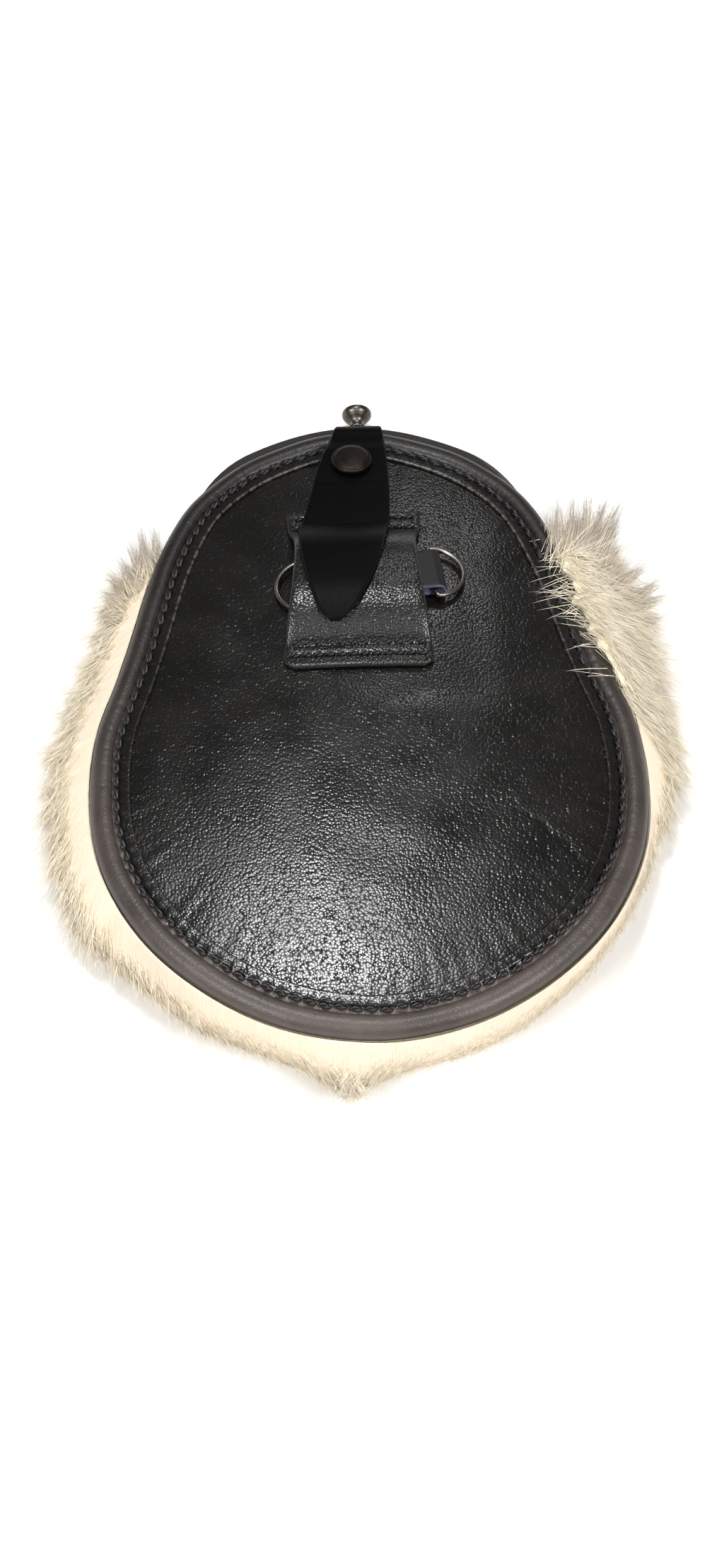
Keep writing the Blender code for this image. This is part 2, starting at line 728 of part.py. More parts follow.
def make_snap():
    y = TOP_Y - CAP_BELOW_EDGE
    radius = CAP_DIAMETER / 2
    dome = (
        # of radius, of height
        (0.00, 0.00),
        (0.90, 0.00),
        (1.00, 0.14),
        (1.00, 0.42),
        (0.93, 0.60),
        (0.74, 0.78),
        (0.40, 0.94),
        (0.00, 1.00),
    )
    mesh = turned_mesh("snap_cap", [(r * radius, h * CAP_HEIGHT) for r, h in dome], 24)
    cap = new_object("snap_cap", mesh, material("gunmetal_cap", (0.060, 0.052, 0.050), 0.35, 0.8))
    over_tab = TAB_LEATHER + 2 * CLEARANCE
    cap.matrix_world = surface_frame(CAP_X, y, lambda px, py: tab_inner_z(px, py) + over_tab)
    post = STUD_DIAMETER / 2
    profile = [(0, 0), (post, 0), (post, STUD_HEIGHT), (0, STUD_HEIGHT)]
    mesh = turned_mesh("snap_stud", profile, 20)
    stud = new_object("snap_stud", mesh, material("snap_brass", (0.45, 0.36, 0.20), 0.35, 1.0))
    stud.matrix_world = surface_frame(CAP_X, y, lambda px, py: back_z(px, py) + CLEARANCE)


def stand_on_origin():
    """Move every piece so that the origin is under the middle of the whole."""
    bpy.context.view_layer.update()
    depsgraph = bpy.context.evaluated_depsgraph_get()
    corners = []
    for piece in bpy.context.scene.objects:
        shown = piece.evaluated_get(depsgraph)
        mesh = shown.to_mesh()
        points = np.empty(3 * len(mesh.vertices), np.float32)
        mesh.vertices.foreach_get("co", points)
        turned = points.reshape(-1, 3) @ np.array(piece.matrix_world.to_3x3()).T
        corners.append(turned + np.array(piece.matrix_world.translation))
        shown.to_mesh_clear()
    corners = np.concatenate(corners)
    middle = (corners.min(axis=0) + corners.max(axis=0)) / 2
    shift = Matrix.Translation((-middle[0], -middle[1], -corners[:, 2].min()))
    for piece in bpy.context.scene.objects:
        piece.matrix_world = shift @ piece.matrix_world


def main():
    for old in list(bpy.data.objects):
        bpy.data.objects.remove(old, do_unlink=True)
    make_back_panel()
    make_edge_binding()
    make_front_panel()
    make_gusset()
    make_fur()
    make_cantle()
    make_cantle_knob()
    make_belt_loop()
    make_ring_strap()
    make_rings()
    make_closure_tab()
    make_snap()
    stand_on_origin()


main()
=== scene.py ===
# %% [markdown]
# # A fur-fronted dress sporran, lying on its front
#
# A sporran is the pouch that is worn in front of a kilt. This one lies on its fur with its leather
# back up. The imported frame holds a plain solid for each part, and the cells below dress each one as
# the real thing: padded leather, a rolled binding with twisted thread, wire rings, polished metal
# and long cream fur. Every shape is worked out with numpy as a grid of two parameters.

# %% Open the frame
import json
import math

import bmesh
import bpy
import numpy as np
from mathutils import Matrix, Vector


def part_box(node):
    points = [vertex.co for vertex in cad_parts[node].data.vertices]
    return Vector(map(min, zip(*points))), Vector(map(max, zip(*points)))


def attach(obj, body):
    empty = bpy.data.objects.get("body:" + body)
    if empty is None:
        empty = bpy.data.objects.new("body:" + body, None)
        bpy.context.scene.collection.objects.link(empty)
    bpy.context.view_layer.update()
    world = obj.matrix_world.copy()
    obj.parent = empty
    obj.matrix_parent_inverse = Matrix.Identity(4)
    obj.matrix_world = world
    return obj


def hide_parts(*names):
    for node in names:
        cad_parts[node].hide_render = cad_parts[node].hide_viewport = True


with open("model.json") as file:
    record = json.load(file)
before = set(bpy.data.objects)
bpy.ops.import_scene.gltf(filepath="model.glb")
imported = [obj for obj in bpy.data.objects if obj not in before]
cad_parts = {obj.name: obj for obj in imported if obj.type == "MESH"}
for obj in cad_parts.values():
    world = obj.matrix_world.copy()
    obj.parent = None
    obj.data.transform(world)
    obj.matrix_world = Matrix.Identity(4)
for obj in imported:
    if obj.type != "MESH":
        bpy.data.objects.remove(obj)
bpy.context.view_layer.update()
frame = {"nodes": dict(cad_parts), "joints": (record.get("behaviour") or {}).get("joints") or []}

MM = 0.001

# %% [markdown]
# ## The pouch's own measures
#
# The back is an egg-shaped piece of leather, and everything else follows its outline. The outline
# could be drawn as a Bezier curve. Here it is a short table of half widths and heights, as a cutter
# reads them off a pattern, and a smooth curve goes through them, so that any point near the edge
# can be asked for with an angle and a distance.

# %% The outline and the back's height
BACK_WIDTH = 156 * MM
BACK_HEIGHT = 208.3 * MM
BACK_THICKNESS = 2 * MM
BACK_DOME = 7 * MM
CLEARANCE = 0.3 * MM
MIDDLE_HEIGHT_SHARE = 0.470
NORMAL_STEP = 1.5
OUTLINE = (
    # of half width, of height
    (0.000, 1.000),
    (0.360, 0.962),
    (0.637, 0.877),
    (0.782, 0.760),
    (0.854, 0.653),
    (0.915, 0.560),
    (0.982, 0.470),
    (1.000, 0.370),
    (0.958, 0.265),
    (0.822, 0.164),
    (0.605, 0.081),
    (0.323, 0.022),
    (0.000, 0.000),
)
FRONT_Z = 9 * MM
FRONT_THICKNESS = 2 * MM
INSIDE_DEPTH = 21 * MM
MOUTH_DEPTH = 8 * MM
ROLL_WIDTH = 6.8 * MM
ROLL_RISE = 2 * MM
ROLL_DROP = 4.6 * MM
TOP_Y = (1 - MIDDLE_HEIGHT_SHARE) * BACK_HEIGHT
BOTTOM_Y = -MIDDLE_HEIGHT_SHARE * BACK_HEIGHT
binding_low, binding_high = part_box("edge_binding")
HOME = np.array([(binding_low.x + binding_high.x) / 2, binding_high.y - TOP_Y, 0.0])


def smooth(knots, values, at):
    """A cubic through values at rising knots: its slope at each knot is that of its neighbours."""
    knots = np.asarray(knots, float)
    values = np.asarray(values, float)
    slopes = np.gradient(values, knots, axis=0)
    at = np.clip(at, knots[0], knots[-1])
    left = np.clip(np.searchsorted(knots, at, side="right") - 1, 0, len(knots) - 2)
    span = knots[left + 1] - knots[left]
    t = (at - knots[left]) / span
    if values.ndim > 1:
        t = t[:, None]
        span = span[:, None]
    return (
        values[left] * (1 + 2 * t) * (1 - t) ** 2
        + slopes[left] * span * t * (1 - t) ** 2
        + values[left + 1] * t**2 * (3 - 2 * t)
        + slopes[left + 1] * span * t**2 * (t - 1)
    )


def smooth_round(angles, values, at):
    """The same curve once round a circle, for angles in degrees."""
    angles = np.asarray(angles, float)
    values = np.asarray(values, float)
    knots = np.concatenate([angles[-3:] - 360, angles, angles[:3] + 360])
    looped = np.concatenate([values[-3:], values, values[:3]])
    return smooth(knots, looped, (np.asarray(at, float) - angles[0]) % 360 + angles[0])


def ease(t):
    """Rises from 0 to 1 with t, level at both ends: 3t² - 2t³."""
    t = np.clip(t, 0, 1)
    return t * t * (3 - 2 * t)


across_share, up_share = np.array(OUTLINE).T
outline_x = across_share * BACK_WIDTH / 2
outline_y = (up_share - MIDDLE_HEIGHT_SHARE) * BACK_HEIGHT
right_angles = np.degrees(np.arctan2(outline_y, outline_x))[::-1]
right_radii = np.hypot(outline_x, outline_y)[::-1]
OUTLINE_ANGLES = np.concatenate([right_angles, 180 - right_angles[-2:0:-1]])
OUTLINE_RADII = np.concatenate([right_radii, right_radii[-2:0:-1]])


def outline_radius(angle):
    """From the middle to the outline at an angle, on the smooth curve through the table."""
    return smooth_round(OUTLINE_ANGLES, OUTLINE_RADII, angle)


def at_angle(angle, radius):
    """An angle in degrees and a radius as x and y: radius x cosine and radius x sine."""
    turn = np.radians(angle)
    return radius * np.cos(turn), radius * np.sin(turn)


def edge(angle, outward):
    """The outline's point at an angle, moved outward along the outline's own normal."""
    angle = np.asarray(angle, float)
    x, y = at_angle(angle, outline_radius(angle))
    x0, y0 = at_angle(angle - NORMAL_STEP, outline_radius(angle - NORMAL_STEP))
    x1, y1 = at_angle(angle + NORMAL_STEP, outline_radius(angle + NORMAL_STEP))
    along = np.hypot(x1 - x0, y1 - y0)
    return x + outward * (y1 - y0) / along, y - outward * (x1 - x0) / along


def inside_height(y):
    """The room inside: deep at the bottom, and falling evenly to the mouth's depth at the top."""
    return INSIDE_DEPTH + (MOUTH_DEPTH - INSIDE_DEPTH) * (y - BOTTOM_Y) / BACK_HEIGHT


def back_z(x, y):
    """The back's face: a slope down to the mouth, plus a crown of dome x (1 - share²)."""
    share = np.hypot(x, y) / outline_radius(np.degrees(np.arctan2(y, x)))
    crown = BACK_DOME * (1 - np.minimum(share, 1) ** 2)
    return FRONT_Z + inside_height(y) + BACK_THICKNESS + crown


def from_top(angle):
    """Degrees between an angle and the top of the pouch, which stands at 90."""
    return np.abs((np.asarray(angle, float) + 90) % 360 - 180)


perimeter_angles = np.arange(-90, 270.1, 0.25)
perimeter = np.stack(edge(perimeter_angles, 0), axis=-1)
perimeter_length = np.concatenate([[0], np.cumsum(np.hypot(*np.diff(perimeter, axis=0).T))])
print("once round the binding: %.0f mm" % (perimeter_length[-1] / MM))

# %% [markdown]
# ## From a grid of numbers to a mesh
#
# A surface here is an array of points with rows along a path and columns across it. One helper
# turns such an array into a closed mesh. Where a row shrinks to a point, its corners fall together
# and are merged. The signed volume of the closed shape says whether its faces look outward, and if
# they don't they are turned round. The points are handed over with foreach_set, which is quick.

# %% Mesh helpers
MERGE_DISTANCE = 1e-7


def grid_faces(rows, columns, rows_closed, columns_closed):
    """Corner numbers of each face between neighbouring rows and columns."""
    i = np.arange(rows if rows_closed else rows - 1)
    j = np.arange(columns if columns_closed else columns - 1)
    i, j = np.meshgrid(i, j, indexing="ij")
    k = (i + 1) % rows
    m = (j + 1) % columns
    return np.stack([i * columns + j, k * columns + j, k * columns + m, i * columns + m], -1).reshape(-1, 4)


def outward_faces(points, faces):
    """The faces, turned round if the volume they enclose comes out negative."""
    a = points[faces[:, 0]]
    volume = 0.0
    for second, third in zip(range(1, faces.shape[1] - 1), range(2, faces.shape[1])):
        volume += np.einsum("ij,ij->", a, np.cross(points[faces[:, second]], points[faces[:, third]]))
    return faces if volume > 0 else faces[:, ::-1]


def piece_from(name, points, faces, uv=None, merge=True, sharp=50):
    """A new object at the origin from points in the pouch's own place."""
    points = points.reshape(-1, 3) + HOME
    faces = outward_faces(points - points.mean(axis=0), faces)
    mesh = bpy.data.meshes.new(name)
    mesh.vertices.add(len(points))
    mesh.vertices.foreach_set("co", points.astype(np.float32).ravel())
    corners = faces.astype(np.int32).ravel()
    mesh.loops.add(len(corners))
    mesh.loops.foreach_set("vertex_index", corners)
    mesh.polygons.add(len(faces))
    mesh.polygons.foreach_set("loop_start", np.arange(0, len(corners), faces.shape[1], dtype=np.int32))
    mesh.update(calc_edges=True)
    if uv is not None:
        layer = mesh.uv_layers.new(name="UVMap")
        layer.data.foreach_set("uv", uv.reshape(-1, 2)[corners].astype(np.float32).ravel())
    if merge:
        merged = bmesh.new()
        merged.from_mesh(mesh)
        bmesh.ops.remove_doubles(merged, verts=merged.verts, dist=MERGE_DISTANCE)
        merged.to_mesh(mesh)
        merged.free()
    mesh.shade_smooth()
    if sharp:
        mesh.set_sharp_from_angle(angle=math.radians(sharp))
    piece = bpy.data.objects.new(name, mesh)
    bpy.context.scene.collection.objects.link(piece)
    return piece


def surface(name, points, rows_closed=False, columns_closed=True, uv=None, sharp=50):
    """A closed piece from a grid; an open path is closed by rows that shrink to their middle."""
    if columns_closed and not rows_closed:
        first = np.broadcast_to(points[:1].mean(axis=1, keepdims=True), points[:1].shape)
        last = np.broadcast_to(points[-1:].mean(axis=1, keepdims=True), points[-1:].shape)
        points = np.concatenate([first, points, last])
        if uv is not None:
            uv = np.concatenate([uv[:1], uv, uv[-1:]])
    faces = grid_faces(*points.shape[:2], rows_closed, columns_closed)
    return piece_from(name, points, faces, uv, sharp=sharp)


def turned(name, profile, base, axis, sharp=50, steps=64):
    """A profile of radius and height turned round an axis that starts at base."""
    axis = np.asarray(axis, float) / np.linalg.norm(axis)
    side = np.cross(axis, (1.0, 0.0, 0.0) if abs(axis[0]) < 0.9 else (0.0, 1.0, 0.0))
    side /= np.linalg.norm(side)
    other = np.cross(axis, side)
    turn = np.linspace(0, math.tau, steps, endpoint=False)[:, None, None]
    radius, height = np.asarray(profile, float).T
    spokes = np.cos(turn) * side + np.sin(turn) * other
    points = np.asarray(base) + radius[None, :, None] * spokes + height[None, :, None] * axis
    faces = grid_faces(steps, len(radius), True, False)
    return piece_from(name, points, faces, sharp=sharp)


def waves(at, wavelengths, seed):
    """A smooth random line between about -1 and 1: sines of some wavelengths with seeded phases."""
    phases = np.random.default_rng(seed).uniform(0, math.tau, len(wavelengths))
    total = sum(np.sin(math.tau * at / w + p) for w, p in zip(wavelengths, phases))
    return total / math.sqrt(len(wavelengths))


print("a closed ring of 4 rows and 6 columns has", len(grid_faces(4, 6, True, True)), "faces")

# %% [markdown]
# ## Materials: how a shader is put together
#
# Colours are picked as sRGB hex values, as a maker would read them off a sample card, and turned to
# the linear values that the renderer works in. Each material is a Principled shader, and a small
# helper adds each further node with its settings and its links in one call.

# %% Colour and node helpers


def colour(hex_value):
    """An sRGB hex colour as linear red, green, blue and alpha."""
    parts = [int(hex_value[i : i + 2], 16) / 255 for i in (1, 3, 5)]
    linear = [p / 12.92 if p <= 0.04045 else ((p + 0.055) / 1.055) ** 2.4 for p in parts]
    return (*linear, 1.0)


def add(tree, kind, inputs=None, **settings):
    """A node with its settings; an input is a value, or the socket that feeds it."""
    made = tree.nodes.new("ShaderNode" + kind)
    for key, value in settings.items():
        setattr(made, key, value)
    for key, value in (inputs or {}).items():
        if isinstance(value, bpy.types.NodeSocket):
            tree.links.new(value, made.inputs[key])
        else:
            made.inputs[key].default_value = value
    return made


def new_material(name, base, roughness, metallic=0.0, **values):
    """A Principled material with its node tree and its shader; more inputs go by their names."""
    made = bpy.data.materials.new(name)
    made.use_nodes = True
    shader = made.node_tree.nodes["Principled BSDF"]
    shader.inputs["Base Color"].default_value = colour(base)
    shader.inputs["Roughness"].default_value = roughness
    shader.inputs["Metallic"].default_value = metallic
    for key, value in values.items():
        shader.inputs[key.replace("_", " ")].default_value = value
    made.diffuse_color = colour(base)
    return made, made.node_tree, shader


def dress(piece, material, slot, *stands_for, body="root"):
    """Give a piece its material and its body, and hide the solids that it stands for; slot is not used."""
    piece.data.materials.clear()
    piece.data.materials.append(material)
    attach(piece, body)
    if stands_for:
        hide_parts(*stands_for)
    return piece


print("middle grey on the sample card is %.3f in linear light" % colour("#808080")[0])

# %% [markdown]
# ## Leather
#
# The back and the belt loop are cowhide with an embossed pebble grain, waxed until it takes a
# soft shine: small domes about a millimetre across with dark valleys, which glint one by one. A
# photograph of leather could be mapped on, but cells of Voronoi noise give the same pebbles at any
# distance. Every few pebbles one stands taller, which scatters the glints. Tab, strap and gusset are
# smoother skins, with finer grain and less bump. The binding keeps the back's grain where it lies
# flat, and on its roll the leather is stretched smooth, with a painted sheen that turns it lighter
# brown towards the bottom. Its UV map says where that is: 0 to 1 across for the roll, and 0 to 1
# upward for the cut edge, whose pale line is partly a painted highlight.

# %% How leather is shaded
GRAIN_SIZE = 0.80 * MM
FINE_GRAIN_SIZE = 0.45 * MM
WARPS_A_GRAIN = 0.4
WARP_REACH = 0.4
# Pores come out about half a millimetre wide, coarser than real ones, which are too fine to show
PORES_A_GRAIN = 1.6
PORE_HEIGHT = 0.10
PATCH_SIZE = 50 / 3 * MM
WAXED_BY = 0.04
BARE_BY = 0.05
# Each of these is a Map Range: from low, from high, to low, to high
TALL_PEBBLES = {1: 0.68, 2: 0.76, 3: 0.8, 4: 1.5}
WORN_PATCHES = {1: 0.35, 2: 0.75, 3: 0.1, 4: 0.6}
PEBBLE_CRESTS = {1: 0.55, 2: 0.95, 3: 0.0, 4: 1.0}
DULL_VALLEYS = {1: 0.0, 2: 0.7, 3: 0.04, 4: 0.0}
# The last one is painted sheen: the binding's roll turns lighter towards the bottom of the pouch
SHEEN_PAINTED_DOWNWARD = {1: 0.05, 2: -0.11, 3: 0.0, 4: 1.5}


def leather(name, base, worn, roughness, grain, relief, level=0.5, rim=None, rolled=None):
    """Embossed hide: pebbles of height 1 - d², worn and waxed on their crests, dull in between.

    rim is the colour of a cut edge, which on the binding is partly a painted highlight, and rolled the
    base, the colour of a painted sheen towards the bottom, roughness and relief of a roll, both where
    the UV map says so.
    """
    made, tree, shader = new_material(name, base, roughness, IOR=1.5, Specular_IOR_Level=level)
    place = add(tree, "TexCoord").outputs["Object"]
    bend = add(tree, "TexNoise", {"Vector": place, "Scale": WARPS_A_GRAIN / grain, "Detail": 1.0})
    reach = {0: bend.outputs["Color"], "Scale": WARP_REACH * grain}
    shift = add(tree, "VectorMath", reach, operation="SCALE")
    warped = add(tree, "VectorMath", {0: place, 1: shift.outputs[0]}, operation="ADD").outputs[0]
    pebbles = add(tree, "TexVoronoi", {"Vector": warped, "Scale": 1 / grain}, feature="F1")
    pores = add(tree, "TexNoise", {"Vector": place, "Scale": PORES_A_GRAIN / grain, "Detail": 2.0})
    patches = add(tree, "TexNoise", {"Vector": place, "Scale": 1 / PATCH_SIZE, "Detail": 4.0})
    squared = add(tree, "Math", {0: pebbles.outputs["Distance"], 1: 2.0}, operation="POWER")
    dome = add(tree, "Math", {0: 1.0, 1: squared.outputs[0]}, operation="SUBTRACT")
    chance = add(tree, "SeparateXYZ", {0: pebbles.outputs["Color"]}).outputs["X"]
    tall = add(tree, "MapRange", {0: chance, **TALL_PEBBLES}).outputs[0]
    raised = add(tree, "Math", {0: dome.outputs[0], 1: tall}, operation="MULTIPLY").outputs[0]
    pored = {0: pores.outputs["Fac"], 1: PORE_HEIGHT, 2: raised}
    height = add(tree, "Math", pored, operation="MULTIPLY_ADD")
    if rolled:
        roll_base, roll_sheen, roll_roughness, roll_relief = rolled
        on_roll = add(tree, "SeparateXYZ", {0: add(tree, "UVMap").outputs[0]}).outputs["X"]
        kept = add(tree, "MapRange", {0: on_roll, 3: 1.0, 4: roll_relief / relief}).outputs[0]
        height = add(tree, "Math", {0: height.outputs[0], 1: kept}, operation="MULTIPLY")
    bump = add(tree, "Bump", {"Height": height.outputs[0], "Distance": relief, "Strength": 1.0})
    tree.links.new(bump.outputs[0], shader.inputs["Normal"])
    wear = add(tree, "MapRange", {0: patches.outputs["Fac"], **WORN_PATCHES})
    crest = add(tree, "MapRange", {0: dome.outputs[0], **PEBBLE_CRESTS})
    share = add(tree, "Math", {0: wear.outputs[0], 1: crest.outputs[0]}, operation="MULTIPLY")
    tones = {0: share.outputs[0], 6: colour(base), 7: colour(worn)}
    mixed = add(tree, "Mix", tones, data_type="RGBA").outputs[2]
    if rolled:
        # Painted sheen: the roll turns lighter and browner towards the bottom, broken into patches
        low_down = add(tree, "SeparateXYZ", {0: place}).outputs["Y"]
        painted_sheen = add(tree, "MapRange", {0: low_down, **SHEEN_PAINTED_DOWNWARD}).outputs[0]
        painted_sheen = add(tree, "Math", {0: painted_sheen, 1: patches.outputs["Fac"]}, operation="MULTIPLY").outputs[0]
        tones = {0: painted_sheen, 6: colour(roll_base), 7: colour(roll_sheen)}
        soft = add(tree, "Mix", tones, data_type="RGBA").outputs[2]
        mixed = add(tree, "Mix", {0: on_roll, 6: mixed, 7: soft}, data_type="RGBA").outputs[2]
    if rim:
        side = add(tree, "SeparateXYZ", {0: add(tree, "UVMap").outputs[0]}).outputs["Y"]
        mixed = add(tree, "Mix", {0: side, 6: mixed, 7: colour(rim)}, data_type="RGBA").outputs[2]
    tree.links.new(mixed, shader.inputs["Base Color"])
    waxed = {0: patches.outputs["Fac"], 1: 0.3, 2: 0.7, 3: roughness - WAXED_BY, 4: roughness + BARE_BY}
    waxed = add(tree, "MapRange", waxed).outputs[0]
    dulled = add(tree, "MapRange", {0: crest.outputs[0], **DULL_VALLEYS}).outputs[0]
    both = add(tree, "Math", {0: waxed, 1: dulled}, operation="ADD")
    if rolled:
        more = add(tree, "MapRange", {0: on_roll, 3: 0.0, 4: roll_roughness - roughness}).outputs[0]
        both = add(tree, "Math", {0: both.outputs[0], 1: more}, operation="ADD")
    tree.links.new(both.outputs[0], shader.inputs["Roughness"])
    return made


print("pebbles are %.2f mm across, finer ones %.2f mm" % (GRAIN_SIZE / MM, FINE_GRAIN_SIZE / MM))

# %% [markdown]
# ## The hides on this pouch
#
# The same function makes every hide here. A separate material could be built by hand for each, but
# they differ only in tone, in how worn and how waxed they are, and in the size and depth of the
# grain, so each one is a line of those values.

# %% The leathers
# Waxed cowhide with a pebble grain: nearly black, brown where it is thin, and glinting
pebbled_cowhide = leather("waxed_pebbled_cowhide", "#0B0A09", "#221D1B", 0.23, GRAIN_SIZE, 0.08 * MM)
# The belt loop is cut from the same hide and shows its paler flesh at the cut edge
belt_loop_hide = leather(
    "waxed_pebbled_cowhide_cut", "#0B0A09", "#242120", 0.26, GRAIN_SIZE, 0.12 * MM, rim="#33302E"
)
# Binding leather is soft and dull where it is stretched over the roll, and keeps its grain where flat.
# Its roll's second colour is a painted sheen towards the bottom, and its pale rim is partly a painted
# highlight on the raw edge
soft_binding = leather(
    "folded_sheepskin",
    "#0B0A09",
    "#221D1B",
    0.24,
    GRAIN_SIZE,
    0.07 * MM,
    rim="#57524E",
    rolled=("#120E0C", "#554B46", 0.42, 0.06 * MM),
)
# The tab is polished bridle leather: black, with a closed and almost even face
bridle = leather(
    "polished_bridle_leather", "#050404", "#0A0908", 0.44, FINE_GRAIN_SIZE, 0.02 * MM, 0.05, "#1A1716"
)
# Gusset and front are plain vegetable-tanned hide, which shows only at the mouth and the sides
plain_hide = leather("plain_dyed_hide", "#171311", "#2A2422", 0.52, FINE_GRAIN_SIZE, 0.05 * MM, 0.4)
# The ring strap has a smooth top and a cut edge of grey-violet split
strap_hide = leather(
    "split_backed_strap", "#121011", "#262223", 0.48, FINE_GRAIN_SIZE, 0.05 * MM, 0.4, "#655D7C"
)
leathers = (pebbled_cowhide, belt_loop_hide, soft_binding, bridle, plain_hide, strap_hide)
print("leathers:", [hide.name for hide in leathers])

# %% [markdown]
# ## Metal and thread
#
# The rings are drawn steel wire, which carries fine lines along it and a little tarnish. The knob is
# turned pewter and the cantle is nickel silver, polished and then handled. Metals get their colour
# from the Base Color at full metallic, and broken-up roughness keeps them from looking like glass.

# %% Metal and thread materials
# Tarnish is a Map Range: from low, from high, to low, to high
TARNISHED = {1: 0.42, 2: 0.72, 3: 0.0, 4: 0.8}
BEST_POLISH = 0.75
WORST_POLISH = 1.5
# Marks are a sixth of the tarnish spots: real hairlines are far finer, and wouldn't show
MARKS_A_SPOT = 6
# Linen fibres are about a tenth of this and wouldn't show, so they are drawn coarser
THREAD_FIBRE = 0.2 * MM
THREAD_RELIEF = 0.08 * MM


def metal(name, base, tarnish, roughness, spots, relief=0.004 * MM):
    """A polished metal: tarnish in patches of a size, roughness that varies, and hairline marks."""
    made, tree, shader = new_material(name, base, roughness, 1.0)
    place = add(tree, "TexCoord").outputs["Object"]
    cloud = add(tree, "TexNoise", {"Vector": place, "Scale": 1 / spots, "Detail": 5.0, "Roughness": 0.6})
    marks = {"Vector": place, "Scale": MARKS_A_SPOT / spots, "Detail": 4.0, "Distortion": 1.5}
    fine = add(tree, "TexNoise", marks)
    amount = add(tree, "MapRange", {0: cloud.outputs["Fac"], **TARNISHED})
    tones = {0: amount.outputs[0], 6: colour(base), 7: colour(tarnish)}
    mixed = add(tree, "Mix", tones, data_type="RGBA")
    tree.links.new(mixed.outputs[2], shader.inputs["Base Color"])
    polish = {1: 0.3, 2: 0.7, 3: roughness * BEST_POLISH, 4: roughness * WORST_POLISH}
    dull = add(tree, "MapRange", {0: fine.outputs["Fac"], **polish})
    tree.links.new(dull.outputs[0], shader.inputs["Roughness"])
    bump = add(tree, "Bump", {"Height": fine.outputs["Fac"], "Distance": relief, "Strength": 0.5})
    tree.links.new(bump.outputs[0], shader.inputs["Normal"])
    return made


# Drawn wire: warm grey, bright along its top line
steel_wire = metal("drawn_steel_wire", "#8F8883", "#5B544F", 0.3, 3 * MM)
# Turned pewter: darker, with soft-edged bright bands
pewter = metal("turned_pewter", "#6A645F", "#3A3531", 0.30, 4 * MM)
# Polished nickel silver: a pale, faintly yellow mirror
nickel = metal("polished_nickel_silver", "#D8D3C8", "#A59C8C", 0.14, 9 * MM)
# Gunmetal plating on the pressed cap: brown-black, with a thin bright rim
gunmetal = metal("gunmetal_plated_brass", "#302B29", "#1F1B19", 0.42, 3 * MM)
# Plain brass on the hidden post
brass = metal("plain_brass", "#B59A5E", "#7C6437", 0.3, 3 * MM)
# Waxed linen thread, black, that catches light along its twist
thread, thread_tree, thread_shader = new_material("waxed_linen_thread", "#0C0B0B", 0.36, IOR=1.5)
thread_place = add(thread_tree, "TexCoord").outputs["Object"]
fibres = add(thread_tree, "TexNoise", {"Vector": thread_place, "Scale": 1 / THREAD_FIBRE, "Detail": 3.0})
thread_bump = add(thread_tree, "Bump", {"Height": fibres.outputs["Fac"], "Distance": THREAD_RELIEF})
thread_tree.links.new(thread_bump.outputs[0], thread_shader.inputs["Normal"])
thread_tones = {0: fibres.outputs["Fac"], 6: colour("#0B0A0A"), 7: colour("#322F2F")}
thread_shade = add(thread_tree, "Mix", thread_tones, data_type="RGBA")
thread_tree.links.new(thread_shade.outputs[2], thread_shader.inputs["Base Color"])
print("metals:", [made.name for made in (steel_wire, pewter, nickel, gunmetal, brass)])

# %% [markdown]
# ## The padded back
#
# The back is leather over a thin padding, pulled tight by the stitches round its edge. Sculpting
# could give it its soft swell, but a cloth simulation finds it by itself: a coarse sheet is held
# along the seam and where the belt loop is sewn on, given a little spare size, and blown up from
# below. How far it rose is then read off and added to the fine surface.

# %% Simulate the padding
PAD_COLUMNS = 96
PAD_ROWS = 22
PAD_RISE_LIMIT = 0.4 * MM
PAD_SPARE = 0.012
PAD_FRAMES = 20
PAD_PRESSURE = 2.0
PAD_STIFFNESS = 4.0
PAD_BLURS = 3
HELD_PAST_LOOP = 1.35
HELD_BELOW_LOOP = 2 * MM
HELD_FADES = 14 * MM
BINDING_BITE = 3 * MM
LOOP_MIDDLE_X = -1.6 * MM
LOOP_TOP = 74.5 * MM
LOOP_LENGTH = 58.8 * MM
LOOP_HALF_WIDTH = 21.5 * MM


def back_places(angles, shares, inset):
    """Places at shares of the way from the middle to the outline less an inset."""
    x, y = edge(angles, -inset)
    return shares[None, :] * x[:, None], shares[None, :] * y[:, None]


def quiet_middle(x, y):
    """0 under the belt loop, strap and tab, where the leather is held flat, and 1 well away from them."""
    aside = (np.abs(x - LOOP_MIDDLE_X) - HELD_PAST_LOOP * LOOP_HALF_WIDTH) / HELD_FADES
    below = (LOOP_TOP - LOOP_LENGTH - HELD_BELOW_LOOP - y) / HELD_FADES
    return ease(np.maximum(aside, below))


